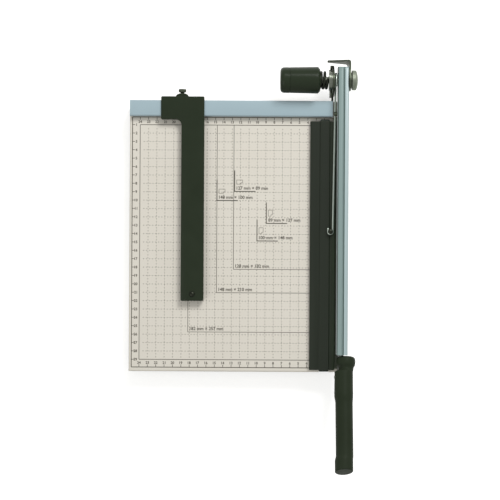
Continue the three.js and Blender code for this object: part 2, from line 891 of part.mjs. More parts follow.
// The blade's side view. The cutting edge is a shallow curve, raised on the bevelled side.
function bladeOutline(raise) {
  const half = tangHeight / 2;
  const bottom = boardTop - bladeTipDepth;
  const heel = boardTop - bladeHeelDepth;
  const edgeFront = new THREE.Vector2(bladeTip, bottom + raise);
  const edgeRear = new THREE.Vector2(bladeHeelReach, heel + raise);
  const middle = edgeFront.clone().add(edgeRear).divideScalar(2);
  middle.y -= 2 * bladeBelly;
  const edge = new THREE.QuadraticBezierCurve(edgeFront, middle, edgeRear).getPoints(curveSteps);
  const tangUnder = (handleStart - bladeTip - half * Math.sin(handleTilt)) / Math.cos(handleTilt);
  const rear = pivotY + bladeRearOverhang;
  return [
    ...edge,
    new THREE.Vector2(bladeHeelReach + bladeHeelSlope, armBottom + clearance),
    new THREE.Vector2(rear, armBottom + clearance),
    new THREE.Vector2(rear, bladeTop),
    new THREE.Vector2(armFront + bladeCorner, bladeTop),
    new THREE.Vector2(...handlePoint(0, half)),
    new THREE.Vector2(...handlePoint(tangLength, half)),
    new THREE.Vector2(...handlePoint(tangLength, -half)),
    new THREE.Vector2(bladeTip, handlePoint(tangUnder, -half)[1]),
  ];
}

// A plate between two side views with the same number of points.
function ruledPlate(leftView, rightView, left, right) {
  const leftRow = leftView.map((point) => new THREE.Vector3(left, point.x, point.y));
  const rightRow = rightView.map((point) => new THREE.Vector3(right, point.x, point.y));
  const count = leftView.length;
  const triangles = [];
  for (const [a, b, c] of THREE.ShapeUtils.triangulateShape(leftView, [])) triangles.push(a, c, b);
  for (const [a, b, c] of THREE.ShapeUtils.triangulateShape(rightView, [])) {
    triangles.push(count + a, count + b, count + c);
  }
  for (let side = 0; side < count; side += 1) {
    const next = (side + 1) % count;
    triangles.push(side, next, count + next);
    triangles.push(side, count + next, count + side);
  }
  const geometry = new THREE.BufferGeometry().setFromPoints([...leftRow, ...rightRow]);
  geometry.setIndex(triangles);
  return solid(geometry);
}

function movingBlade() {
  const span = [bladeLeft - overrun, bladeRight + overrun];
  const holes = bladeScrewPlaces.map((y) => rod('x', screwRadius + clearance, ...span, 0, y, pivotZ));
  const pins = handlePinPlaces.map((along) => handlePinHole(along, ...span));
  return ruledPlate(bladeOutline(0), bladeOutline(bladeBevel), bladeLeft, bladeRight)
    .subtract(boltHole())
    .subtract(wasm.Manifold.union([...holes, ...pins]));
}

function handlePinHole(along, from, to) {
  return rod('x', handlePinRadius + clearance, from, to, 0, ...handlePoint(along, 0));
}

function handlePin(along) {
  const domeFoot = gripRadius + handlePinRise - handlePinDome;
  const half = [[handlePinRadius, 0], ...dome(handlePinRadius, domeFoot, handlePinDome)];
  const otherHalf = half.slice(1).reverse().map(([radius, place]) => [radius, -place]);
  return turned([...otherHalf, ...half], 'x', gripCentre, ...handlePoint(along, 0), smallFaces);
}

// Cross-sections of the handle as [place along it, radius, centre from the cutting plane].
function handleStations() {
  const gripStart = collarLength + handleNeckLength + 2 * handleNeckStep;
  const rear = rim(collarRadius, collarRound, collarRound, 1);
  const tip = rim(gripTipRadius, handleLength - gripTipRound, gripTipRound, -1);
  return [
    ...rear.map(([radius, along]) => [along, radius, collarCentre]),
    [collarLength, collarRadius, collarCentre],
    [collarLength + handleNeckStep, handleNeckRadius, handleNeckCentre],
    [gripStart - handleNeckStep, handleNeckRadius, handleNeckCentre],
    [gripStart, gripRadius, gripCentre],
    [gripWaistStart, gripRadius, gripCentre],
    [gripWaistStart + gripEase, gripWaistRadius, gripWaistCentre],
    [gripWaistEnd, gripWaistRadius, gripWaistCentre],
    [gripWaistEnd + gripTipEase, gripTipRadius, gripTipCentre],
    ...tip.map(([radius, along]) => [along, radius, gripTipCentre]),
  ];
}

function handleGrip() {
  const rings = handleStations().map(([along, radius, centre]) => Array.from(
    { length: roundFaces },
    (_, side) => {
      const angle = (side / roundFaces) * 2 * Math.PI;
      const [y, z] = handlePoint(along, radius * Math.sin(angle));
      return new THREE.Vector3(centre + radius * Math.cos(angle), y, z);
    },
  ));
  const half = tangHeight / 2 + clearance;
  const slotEnd = tangLength + clearance;
  const tangSlot = outline([
    handlePoint(-collarLength, -half),
    handlePoint(slotEnd, -half),
    handlePoint(slotEnd, half),
    handlePoint(-collarLength, half),
  ]);
  const [, axisAtTip] = handlePoint(collarLength, 0);
  const bladeSlot = rectangle(
    bladeTip - clearance, boardTop - bladeTipDepth, armFront + overrun, axisAtTip,
  );
  const cuts = [
    prism(tangSlot, 'x', armSlotLeft, armSlotRight),
    prism(bladeSlot, 'x', armSlotLeft, armSlotRight),
    ...handlePinPlaces.map((along) => handlePinHole(
      along, gripCentre - gripRadius - overrun, gripCentre + gripRadius + overrun,
    )),
  ];
  return skin(rings).subtract(wasm.Manifold.union(cuts));
}

// Pivot bolt, washer, stop plate and press pin

function pivotBolt() {
  const tip = knobNutLeft + clearance;
  const profile = [
    [0, tip],
    [pivotBoltRadius, tip],
    [pivotBoltRadius, boltHeadLeft],
    [boltHeadRadius, boltHeadLeft],
    ...dome(boltHeadRadius, boltHeadLeft + boltHeadRim, boltHeadHeight - boltHeadRim),
  ];
  return turned(profile, 'x', 0, pivotY, pivotZ);
}

function boltWasher() {
  const right = boltWasherLeft + boltWasherThickness;
  return rod('x', boltWasherRadius, boltWasherLeft, right, 0, pivotY, pivotZ, roundFaces)
    .subtract(boltHole());
}

function stopPlate() {
  const half = stopTabHeight / 2;
  const tabRear = stopPlateReach;
  const plate = new THREE.Shape();
  plate.absarc(0, 0, stopPlateRadius, stopPlateNeckAngle, 2 * Math.PI - stopPlateNeckAngle);
  plate.lineTo(armRearOverhang, -half);
  plate.lineTo(tabRear - stopTabBend, -half);
  plate.lineTo(tabRear - stopTabBend, half);
  plate.lineTo(armRearOverhang, half);
  const tabLeft = lugLeft - stopTabOverlap;
  const angle = outline([
    [stopPlateRight, armRearOverhang],
    [stopPlateRight, tabRear, stopTabBend],
    [tabLeft, tabRear],
    [tabLeft, tabRear - stopPlateThickness],
    [stopPlateLeft, tabRear - stopPlateThickness, stopTabBend - stopPlateThickness],
    [stopPlateLeft, armRearOverhang],
  ]);
  const taper = outline([
    [tabLeft - overrun, stopTabTipHeight - half],
    [stopPlateLeft, half],
    [stopPlateLeft, half + overrun],
    [tabLeft - overrun, half + overrun],
  ]);
  return prism(plate, 'x', stopPlateLeft, stopPlateRight, domeSteps)
    .add(prism(angle, 'z', -half, half))
    .subtract(prism(taper, 'y', armRearOverhang + overrun, tabRear + overrun))
    .translate([0, pivotY, pivotZ])
    .subtract(boltHole());
}

function pressPinHeight() {
  return wireHeight + wireRadius + clearance + pressPinRadius;
}

function pressPin() {
  const left = armLeft - pressPinOverlap;
  return rod(
    'x', pressPinRadius, left, armLeft + pressPinBite, 0, pressPinReach, pressPinHeight(), roundFaces,
  );
}

// Tension knob and its nut

function tensionKnob() {
  const cavity = springRadius + springWireRadius + knobSpringGap;
  const profile = [
    [0, knobLeft],
    ...rim(knobEndRadius, knobLeft + knobEndRound, knobEndRound, 1),
    [knobRadius, knobRight - knobMouthLength],
    [knobMouthRadius, knobRight],
    [cavity, knobRight],
    [cavity, knobFloor],
    [0, knobFloor],
  ];
  const pocket = rod(
    'x', knobNutRadius + clearance, knobNutLeft - clearance, knobFloor + overrun,
    0, pivotY, pivotZ, hexagonFaces,
  );
  return turned(profile, 'x', 0, pivotY, pivotZ, roundFaces).subtract(pocket);
}

function knobNut() {
  return rod('x', knobNutRadius, knobNutLeft, knobNutRight, 0, pivotY, pivotZ, hexagonFaces)
    .subtract(boltHole());
}

// Clamp bar with its strip, rivets, stops and stud

function pressureBar() {
  const recess = clearance + stripSlotGap;
  const ribLeft = stripRight - barRibWidth;
  const section = outline([
    [barLeft, barBottom],
    [stripLeft - recess, barBottom],
    [stripLeft - recess, barTop - barRoof],
    [stripRight + recess, barTop - barRoof],
    [stripRight + recess, barBottom],
    [barRight, barBottom],
    [barRight, barTop, barEdgeRadius],
    [stripRight + barRibHeight, barTop],
    [stripRight, barRibTop],
    [ribLeft, barRibTop],
    [ribLeft - barRibHeight, barTop],
    [barLeft, barTop, barEdgeRadius],
  ]);
  const studHole = rod(
    'z', studRadius + clearance, barTop - studBite - clearance, barRibTop + overrun,
    -hookInset, -hookReach, 0,
  );
  const rivetHoles = rivetPlaces().map((y) => rod(
    'z', rivetRadius + clearance, barTop - barRoof - overrun, rivetTip + clearance, stripMiddle, y, 0,
  ));
  return prism(section, 'y', barFront, barRear).subtract(wasm.Manifold.union([studHole, ...rivetHoles]));
}

function rivetPlaces() {
  return [barFront + rivetEndInset, barRear - rivetEndInset];
}

function barGuideStrip() {
  const side = outline([
    [stripFront, stripLegBottom],
    [stripFront + stripThickness, stripLegBottom],
    [stripFront + stripThickness, stripTop - stripThickness, stripBend - stripThickness],
    [stripRear - stripThickness, stripTop - stripThickness, stripBend - stripThickness],
    [stripRear - stripThickness, stripLegBottom],
    [stripRear, stripLegBottom],
    [stripRear, stripTop, stripBend],
    [stripFront, stripTop, stripBend],
  ]);
  const radius = rivetRadius + clearance;
  const frontLeg = [stripFront - overrun, stripFront + stripThickness + overrun];
  const rearLeg = [stripRear - stripThickness - overrun, stripRear + overrun];
  const holes = [
    ...rivetPlaces().map((y) => rod('z', radius, barBottom, stripTop + overrun, stripMiddle, y, 0)),
    rod('y', radius, ...frontLeg, stripMiddle, 0, tabStopHeight),
    rod('y', radius, ...rearLeg, stripMiddle, 0, tabStopHeight),
  ];
  return prism(side, 'x', stripLeft, stripRight).subtract(wasm.Manifold.union(holes));
}

function stripRivet(y) {
  const seat = stripTop - stripThickness - clearance;
  const profile = [
    [0, seat - rivetHeadHeight],
    [rivetHeadRadius, seat - rivetHeadHeight],
    [rivetHeadRadius, seat],
    [rivetRadius, seat],
    [rivetRadius, rivetTip],
    [0, rivetTip],
  ];
  return turned(profile, 'z', stripMiddle, y, 0, smallFaces);
}

// A headed stop in a leg of the strip; inwards is 1 where the head points to the back, -1 to the front.
function tabStop(outerFace, inwards) {
  const headStart = stripThickness + clearance;
  const head = [outerFace + inwards * headStart, outerFace + inwards * (headStart + tabStopLength)];
  const shank = [outerFace, outerFace + inwards * (headStart + overrun)];
  const bar = (ends, radius) => rod(
    'y', radius, Math.min(...ends), Math.max(...ends), stripMiddle, 0, tabStopHeight,
  );
  return bar(head, tabStopRadius).add(bar(shank, rivetRadius));
}

function hookStud() {
  const collarTop = wireHeight - wireRadius - clearance;
  const headBottom = wireHeight + wireRadius + clearance;
  const profile = [
    [0, barTop - studBite],
    [studRadius, barTop - studBite],
    [studRadius, barRibTop + clearance],
    [studCollarRadius, barRibTop + clearance],
    [studCollarRadius, collarTop],
    [studRadius, collarTop],
    [studRadius, headBottom],
    [studHeadRadius, headBottom],
    [studHeadRadius, headBottom + studHeadHeight / 2],
    [studHeadRadius / 2, headBottom + studHeadHeight],
    [0, headBottom + studHeadHeight],
  ];
  return turned(profile, 'z', -hookInset, -hookReach, 0, roundFaces);
}

// Paper guide and thumb screw

function guide() {
  const plan = outline([
    [guideArmLeft, guideFront, guideCorner],
    [guideRight, guideFront, guideCorner],
    [guideRight, guideHeadRear, guideCorner],
    [guideLeft, guideHeadRear, guideCorner],
    [guideLeft, guideHeadFront, guideCorner],
    [guideArmLeft, guideHeadFront, guideFillet],
  ]);
  const body = prism(plan, 'z', guideBottom - guideChamfer, guideTop, filletSteps, guideChamfer);
  const boss = new THREE.Shape();
  boss.absellipse(thumbScrewX, guideHeadRear, guideBossRadius, guideBossDepth, 0, Math.PI);
  boss.lineTo(thumbScrewX - guideBossRadius, guideHeadRear - guideWall);
  boss.lineTo(thumbScrewX + guideBossRadius, guideHeadRear - guideWall);
  const padTop = guideBottom + guidePadThickness + clearance;
  const cuts = [
    block(
      guideLeft - overrun, guideRight + overrun, guideFront - overrun, guideHeadRear + overrun,
      guideBottom - guideChamfer - overrun, guideBottom,
    ),
    block(
      guideLeft - overrun, guideRight + overrun, -clearance, fenceDepth + clearance,
      guideBottom - overrun, guideRoof,
    ),
    prism(rectangle(
      guideArmLeft + guideWall, guideFront + guideWall,
      guideRight - guideWall, guideHeadFront - guideWall, guideCorner,
    ), 'z', guideBottom - overrun, guideRoof).subtract(
      rod('z', guidePadBossRadius, padTop, guideTop, guideRivetX, guideRivetY, 0, roundFaces),
    ),
    rod('z', guideRivetRadius + clearance, guideBottom, guideTop + overrun, guideRivetX, guideRivetY, 0),
    rod(
      'y', thumbScrewRadius + clearance, fenceDepth, guideHeadRear + guideBossDepth + overrun,
      thumbScrewX, 0, thumbScrewZ,
    ),
  ];
  return body.add(prism(boss, 'z', guideBottom, guideRoof, domeSteps)).subtract(wasm.Manifold.union(cuts));
}

function guideRivet() {
  const seat = guideTop + clearance;
  const tip = guideBottom + guidePadThickness / 2;
  const profile = [
    [0, tip],
    [guideRivetRadius, tip],
    [guideRivetRadius, seat],
    ...dome(guideRivetHeadRadius, seat, guideRivetHeadHeight),
  ];
  return turned(profile, 'z', guideRivetX, guideRivetY, 0);
}

function guidePad() {
  const top = guideBottom + guidePadThickness;
  const hole = rod(
    'z', guideRivetRadius + clearance, guideBottom - overrun, top + overrun, guideRivetX, guideRivetY, 0,
  );
  return rod('z', guidePadRadius, guideBottom, top, guideRivetX, guideRivetY, 0, roundFaces).subtract(hole);
}

function thumbScrew() {
  const rear = thumbHeadFront + thumbHeadLength;
  const profile = [
    [0, fenceDepth + clearance],
    [thumbScrewRadius, fenceDepth + clearance],
    [thumbScrewRadius, thumbHeadFront],
    [thumbHeadRadius, thumbHeadFront + thumbHeadCone],
    [thumbHeadRadius, rear - thumbRidgeDepth],
    [thumbHeadRadius - thumbRidgeDepth, rear],
    [0, rear],
  ];
  const ridges = new THREE.Shape(Array.from({ length: 2 * thumbRidgeCount }, (_, index) => {
    const angle = (index / thumbRidgeCount) * Math.PI;
    const radius = thumbHeadRadius - (index % 2) * thumbRidgeDepth;
    return new THREE.Vector2(radius * Math.cos(angle), radius * Math.sin(angle));
  }));
  return turned(profile, 'y', 0, 0, 0)
    .intersect(prism(ridges, 'y', fenceDepth, rear + overrun))
    .translate([thumbScrewX, 0, thumbScrewZ]);
}

// Finishes
function finish(color, roughness, metalness) {
  return new THREE.MeshStandardMaterial({ color, roughness, metalness });
}

const finishes = {
  boardEnamel: finish('#d6d1c6', 0.45, 0),
  fenceEnamel: finish('#a4b7bd', 0.4, 0),
  armEnamel: finish('#94a6a5', 0.35, 0.5),
  blackEnamel: finish('#30362c', 0.5, 0),
  blackPlastic: finish('#2d3229', 0.55, 0),
  rubber: finish('#232521', 0.85, 0),
  bladeSteel: finish('#b9bdb8', 0.25, 1),
  zincSteel: finish('#8f978a', 0.35, 1),
  springSteel: finish('#262822', 0.4, 0.9),
  felt: finish('#4a4d48', 0.95, 0),
};

const cutter = new THREE.Group();
cutter.name = 'paper_cutter';

function add(name, body, material) {
  const mesh = new THREE.Mesh(geometryOf(body), material);
  mesh.name = name;
  cutter.add(mesh);
}

// Base
add('base_plate', basePlate(), finishes.boardEnamel);
add('fence', fence(), finishes.fenceEnamel);
fenceScrewPlaces.forEach((x, index) => add(`fence_screw_${index + 1}`, fenceScrew(x), finishes.zincSteel));
add('fixed_blade', fixedBlade(), finishes.bladeSteel);
fixedBladeScrewPlaces.forEach((y, index) => {
  const screw = countersunkScrew(railLeft + clearance, 0, y, sideScrewHeight);
  add(`fixed_blade_screw_${index + 1}`, screw, finishes.zincSteel);
});
add('blade_rail', bladeRail(), finishes.zincSteel);
add('foot_rail_left', footRail(trayLeft, 1), finishes.boardEnamel);
add('foot_rail_right', footRail(trayRight, -1), finishes.boardEnamel);
for (const [place, [x, y]] of Object.entries(footPlaces)) add(`foot_${place}`, foot(x, y), finishes.rubber);

// Pivot
add('pivot_bracket', pivotBracket(), finishes.zincSteel);
bracketBoltPlaces.forEach((reach, index) => {
  add(`bracket_bolt_${index + 1}`, bracketBolt(reach), finishes.zincSteel);
});
add('pivot_bush', pivotBush(), finishes.zincSteel);
add('thrust_washer', thrustWasher(), finishes.zincSteel);
const spring = springPath();
add('pivot_spring', wireAlong(spring, springWireRadius, springSides), finishes.springSteel);
const springGap = leastSelfGap(spring, springWireRadius, springStepsPerTurn / 2 + 1);
console.log(`pivot_spring: least gap between its turns ${springGap.toFixed(2)} mm`);

// Blade arm
add('arm_bar', armBar(), finishes.armEnamel);
add('moving_blade', movingBlade(), finishes.bladeSteel);
bladeScrewPlaces.forEach((y, index) => {
  const screw = countersunkScrew(armLeft + bladeScrewTipWall, armRight, y, pivotZ);
  add(`blade_screw_${index + 1}`, screw, finishes.zincSteel);
});
add('handle_grip', handleGrip(), finishes.blackPlastic);
handlePinPlaces.forEach((along, index) => {
  add(`handle_pin_${index + 1}`, handlePin(along), finishes.zincSteel);
});
add('stop_plate', stopPlate(), finishes.zincSteel);
add('bolt_washer', boltWasher(), finishes.zincSteel);
add('pivot_bolt', pivotBolt(), finishes.zincSteel);
add('press_pin', pressPin(), finishes.zincSteel);

// Tension knob
add('tension_knob', tensionKnob(), finishes.blackPlastic);
add('knob_nut', knobNut(), finishes.zincSteel);

// Clamp
add('pressure_bar', pressureBar(), finishes.blackEnamel);
add('bar_guide_strip', barGuideStrip(), finishes.blackEnamel);
const [rivetFront, rivetRear] = rivetPlaces();
add('strip_rivet_front', stripRivet(rivetFront), finishes.zincSteel);
add('strip_rivet_rear', stripRivet(rivetRear), finishes.zincSteel);
add('tab_stop_front', tabStop(stripFront, 1), finishes.zincSteel);
add('tab_stop_rear', tabStop(stripRear, -1), finishes.zincSteel);
add('hook_stud', hookStud(), finishes.zincSteel);
add('clamp_wire', wireAlong(clampWirePath(), wireRadius, wireSides), finishes.zincSteel);

// Paper guide
add('guide', guide(), finishes.blackEnamel);
add('guide_rivet', guideRivet(), finishes.zincSteel);
add('guide_pad', guidePad(), finishes.felt);
add('thumb_screw', thumbScrew(), finishes.zincSteel);

// The origin lies on the table below the middle of the whole cutter.
const extent = new THREE.Box3().setFromObject(cutter);
const centre = extent.getCenter(new THREE.Vector3());
cutter.position.set(-centre.x, -centre.y, -extent.min.z);

export default cutter;
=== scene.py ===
# %% [markdown]
# # A desk paper cutter
# The object is a guillotine for an office: a cream board with a printed centimetre grid, a fence
# at the back, a blade arm on a sprung pivot, a clamp bar that rises with the arm, and a guide that
# slides along the fence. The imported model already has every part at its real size. This file puts
# finishes on those parts and makes again, with finer curves, the round ones that the eye rests on.

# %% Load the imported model
import json
import math

import bmesh
import bpy
import numpy as np
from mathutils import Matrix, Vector


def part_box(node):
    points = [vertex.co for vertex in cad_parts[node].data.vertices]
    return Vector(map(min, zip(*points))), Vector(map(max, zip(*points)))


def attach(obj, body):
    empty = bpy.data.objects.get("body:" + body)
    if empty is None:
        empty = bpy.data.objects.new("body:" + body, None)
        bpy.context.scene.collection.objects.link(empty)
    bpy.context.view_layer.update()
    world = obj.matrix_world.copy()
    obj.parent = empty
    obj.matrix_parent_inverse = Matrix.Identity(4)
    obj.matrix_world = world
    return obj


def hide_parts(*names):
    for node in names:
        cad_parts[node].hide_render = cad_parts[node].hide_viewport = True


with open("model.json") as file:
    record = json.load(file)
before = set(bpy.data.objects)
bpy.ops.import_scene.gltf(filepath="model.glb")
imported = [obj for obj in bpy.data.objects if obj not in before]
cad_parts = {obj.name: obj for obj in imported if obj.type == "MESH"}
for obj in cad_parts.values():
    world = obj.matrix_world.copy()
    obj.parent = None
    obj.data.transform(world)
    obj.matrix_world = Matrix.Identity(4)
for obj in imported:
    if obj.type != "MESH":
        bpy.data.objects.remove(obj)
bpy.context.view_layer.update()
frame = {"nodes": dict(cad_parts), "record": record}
node_slot = {part["node"]: part["material_slot"] for part in frame["record"]["subparts"]}
node_body = {n: b for b, names in frame["record"]["behaviour"]["bodies"].items() for n in names}

# %% [markdown]
# ## One place to measure from
# The maker of the cutter would measure from the cutting edge, the face of the fence and the table.
# The same three are taken from the model's own parts here, so every later size can be written in
# millimetres as on a drawing, and a change of the model carries over.

# %% Millimetres from the cutting edge, the fence and the table
MM = 0.001
cutting_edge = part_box("fixed_blade")[1].x
fence_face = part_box("fence")[0].y
ORIGIN = np.array([cutting_edge, fence_face, 0.0])
board_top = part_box("base_plate")[1].z / MM


def metres(points):
    """Points in millimetres from the drawing's origin, as metres in the model's frame."""
    return ORIGIN + np.asarray(points, float) * MM


def span(node, axis):
    """The lowest and highest place of a part along one axis, in the drawing's millimetres."""
    low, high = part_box(node)
    index = "xyz".index(axis)
    return (low[index] - ORIGIN[index]) / MM, (high[index] - ORIGIN[index]) / MM


print("board top at", round(board_top, 2), "mm, left edge at", round(span("base_plate", "x")[0], 1))

# %% [markdown]
# ## The camera
# The photograph looks straight down on the cutter from about two metres. The printed rulers give
# the scale, 1.19 mm for each pixel of a 500-pixel frame, and that sets the lens. The cutter lies a
# third of a degree askew in the photograph, so the camera is turned by that much.

# %% A camera straight above the board
PHOTO_PIXELS = 500
MM_PER_PIXEL = 1.1935
CAMERA_ABOVE_BOARD = 2000.0
CAMERA_AIM = (-108.2, -158.85)
CAMERA_ROLL = 0.33

camera_data = bpy.data.cameras.new("photo_camera")
camera_data.sensor_width = 36.0
camera_data.lens = camera_data.sensor_width * CAMERA_ABOVE_BOARD / (MM_PER_PIXEL * PHOTO_PIXELS)
camera = bpy.data.objects.new("photo_camera", camera_data)
bpy.context.scene.collection.objects.link(camera)
camera.location = metres([*CAMERA_AIM, board_top + CAMERA_ABOVE_BOARD])
camera.rotation_euler = (0.0, 0.0, math.radians(CAMERA_ROLL))
bpy.context.scene.camera = camera
print("lens", round(camera_data.lens, 1), "mm")

# %% [markdown]
# ## One function for nodes
# Every finish, the floor and the world are trees of shader nodes. One small function builds them
# all: it adds a node, sets its properties, and gives each input a value or a link. A finish then
# reads like the list of its nodes.

# %% Adding a node
def add_node(tree, kind, inputs=None, **settings):
    """Adds a node, sets its properties, and sets or links its inputs."""
    node = tree.nodes.new(kind)
    for name, value in settings.items():
        setattr(node, name, value)
    for name, value in (inputs or {}).items():
        if isinstance(value, bpy.types.NodeSocket):
            tree.links.new(value, node.inputs[name])
        else:
            node.inputs[name].default_value = value
    return node


# %% [markdown]
# ## Lamps
# In the photograph the cutter lies in soft studio light that comes mostly from behind and from the
# right: the knob's highlight runs along its rear side and the right half of the arm is the lighter
# one. A large lamp there gives that. A small one straight behind adds a streak on round parts, and
# a wide, weaker one fills the front left. Together with the world they light a level surface at
# about the brightness its colour has.

# %% Three lamps
scene = bpy.context.scene
scene.view_settings.view_transform = "Standard"

LAMPS = [
    # name, place and side in metres, watts
    ("rear_right_lamp", (0.8, 1.65, 1.85), 0.8, 41.0),
    ("rear_streak_lamp", (0.0, 1.9, 1.85), 0.5, 4.0),
    ("front_left_lamp", (-1.2, -1.0, 1.8), 1.4, 10.0),
]


def add_lamp(name, place, side, watts):
    """A square area lamp that looks at the middle of the board."""
    data = bpy.data.lights.new(name, "AREA")
    data.size = side
    data.energy = watts
    lamp = bpy.data.objects.new(name, data)
    scene.collection.objects.link(lamp)
    lamp.location = place
    lamp.rotation_euler = Vector(place).to_track_quat("Z", "Y").to_euler()


for row in LAMPS:
    add_lamp(*row)
print("lamps", [row[0] for row in LAMPS])

# %% [markdown]
# ## A white world
# An even grey world keeps the shadows pale. The background has to be white, though, and a white
# world would bleach the cutter. A ray can be asked what it is for: what the camera looks at,
# straight, mirrored in metal or through glass, gets the full white, and what only lights a surface
# gets the weaker grey.

# %% The world
WORLD_STRENGTH = 0.6


def looked_at(tree):
    """1 for what the camera sees, straight, mirrored in metal or through glass, and 0 for what only
    lights a surface. It is the largest of the three answers."""
    rays = add_node(tree, "ShaderNodeLightPath").outputs
    seen = rays["Is Camera Ray"]
    for kind in ("Is Glossy Ray", "Is Transmission Ray"):
        either = add_node(tree, "ShaderNodeMath", {0: seen, 1: rays[kind]}, operation="MAXIMUM")
        seen = either.outputs[0]
    return seen


world = bpy.data.worlds.new("studio")
scene.world = world
world.use_nodes = True
world_tree = world.node_tree
world_tree.nodes.clear()
strength = add_node(world_tree, "ShaderNodeMix", {
    "Factor": looked_at(world_tree),
    2: WORLD_STRENGTH,
    3: 1.0,
}, data_type="FLOAT")
sky = add_node(world_tree, "ShaderNodeBackground", {"Strength": strength.outputs[0]})
add_node(world_tree, "ShaderNodeOutputWorld", {"Surface": sky.outputs[0]})
print("world strength", WORLD_STRENGTH)

# %% [markdown]
# ## The floor
# The photograph's background is plain white. A white floor alone would come out a little grey, and
# more light would bleach the cutter, so the floor adds a weak glow. Like the world's white, it shows
# only where the camera looks, straight or mirrored in metal, and lights no surface. The cutter's
# soft shadow still shows on the floor.

# %% A white floor that keeps the shadow
def hex_colour(code):
    """An sRGB hex code as a linear colour with alpha."""
    channels = [int(code[i : i + 2], 16) / 255 for i in (1, 3, 5)]
    return [c / 12.92 if c <= 0.04045 else ((c + 0.055) / 1.055) ** 2.4 for c in channels] + [1.0]


FLOOR_HALF = 6.0
FLOOR_GLOW = 0.5

floor_mesh = bpy.data.meshes.new("floor")
floor_corners = [(-1, -1, 0), (1, -1, 0), (1, 1, 0), (-1, 1, 0)]
floor_mesh.from_pydata((np.array(floor_corners) * FLOOR_HALF).tolist(), [], [(0, 1, 2, 3)])
floor = bpy.data.objects.new("floor", floor_mesh)
scene.collection.objects.link(floor)

floor_paper = bpy.data.materials.new("white_studio_paper")
floor_paper.use_nodes = True
floor_tree = floor_paper.node_tree
floor_tree.nodes.clear()
glow_amount = add_node(floor_tree, "ShaderNodeMath", {
    0: looked_at(floor_tree),
    1: FLOOR_GLOW,
}, operation="MULTIPLY")
glow = add_node(floor_tree, "ShaderNodeEmission", {"Strength": glow_amount.outputs[0]})
matt_white = add_node(floor_tree, "ShaderNodeBsdfDiffuse", {"Color": hex_colour("#e8e8e6")})
floor_sum = add_node(floor_tree, "ShaderNodeAddShader", {
    0: matt_white.outputs[0],
    1: glow.outputs[0],
})
add_node(floor_tree, "ShaderNodeOutputMaterial", {"Surface": floor_sum.outputs[0]})
floor_mesh.materials.append(floor_paper)
print("floor", 2 * FLOOR_HALF, "m wide")

# %% [markdown]
# ## Making surfaces from arrays
# Every new piece is a grid of points: rings of the same number of points, one after another. A ring
# may run round a turned part, round a wire, or round a handle. The faces between rings follow from
# the grid's size alone, so one function can build them all with array arithmetic.

# %% From a mesh to a finished piece
def finished(name, mesh, node, material, smooth_degrees=40.0):
    """Links a mesh as a piece that moves, and is repainted, with a part of the model.
    Bends below the given angle are shaded smooth."""
    mesh.validate()
    mesh.shade_smooth()
    mesh.set_sharp_from_angle(angle=math.radians(smooth_degrees))
    mesh.materials.clear()
    mesh.materials.append(material)
    piece = bpy.data.objects.new(name, mesh)
    scene.collection.objects.link(piece)
    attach(piece, node_body[node])
    return piece


def stands_for(node, mesh, material, smooth_degrees=40.0):
    """A finished piece that is shown in place of a part of the model."""
    piece = finished(node + "_fine", mesh, node, material, smooth_degrees)
    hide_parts(node)
    return piece


# %% [markdown]
# A skin closes the rings: quads from ring to ring, and a fan of triangles over each end.

# %% From rings of points to a closed mesh
MERGE = 1e-6


def skin(name, rings):
    """A closed skin over rings of points, an array of rings x sides x 3 in millimetres.
    Quads join point j of ring i to point j + 1 and to ring i + 1, and the first and last rings are
    each closed by a fan to their own middle."""
    count, sides, _ = rings.shape
    grid = np.arange(count * sides).reshape(count, sides)
    ahead = np.roll(grid, -1, axis=1)
    quads = np.stack([grid[:-1], ahead[:-1], ahead[1:], grid[1:]], axis=-1).reshape(-1, 4)
    first, last = count * sides, count * sides + 1
    start_fan = np.stack([ahead[0], grid[0], np.full(sides, first)], axis=-1)
    end_fan = np.stack([grid[-1], ahead[-1], np.full(sides, last)], axis=-1)
    points = np.concatenate([rings.reshape(-1, 3), rings[:1].mean(axis=1), rings[-1:].mean(axis=1)])
    mesh = bpy.data.meshes.new(name)
    faces = quads.tolist() + start_fan.tolist() + end_fan.tolist()
    mesh.from_pydata(metres(points).tolist(), [], faces)
    shell = bmesh.new()
    shell.from_mesh(mesh)
    bmesh.ops.remove_doubles(shell, verts=shell.verts, dist=MERGE)
    bmesh.ops.recalc_face_normals(shell, faces=shell.faces)
    shell.to_mesh(mesh)
    shell.free()
    return mesh


# %% [markdown]
# Most small parts are turned on a lathe. Such a part is a profile, pairs of radius and place along
# the axis, swept once round. Its corners are eased first, because a tool leaves no perfect one.

# %% Turned parts
ROUND_SIDES = 96


def turned_rings(profile, axis, centre, sides=ROUND_SIDES, sink=0.0):
    """Rings of a turned part: (radius, place along the axis) pairs swept round the axis.
    A point at angle a is centre + radius * (cos a, sin a) across the axis. A sink, one value for
    each point of the grid, is taken from the radius."""
    profile = np.array(profile, float)
    angles = np.linspace(0, 2 * np.pi, sides, endpoint=False)
    radius = profile[:, :1] - sink
    across = radius * np.cos(angles), radius * np.sin(angles)
    along = np.repeat(profile[:, 1:], sides, axis=1)
    order = {"x": (along, *across), "y": (across[1], along, across[0]), "z": (*across, along)}[axis]
    return np.stack(order, axis=-1) + np.asarray(centre, float)


def turned(name, profile, axis, centre, sides=ROUND_SIDES):
    """The closed mesh of a turned part."""
    return skin(name, turned_rings(profile, axis, centre, sides))


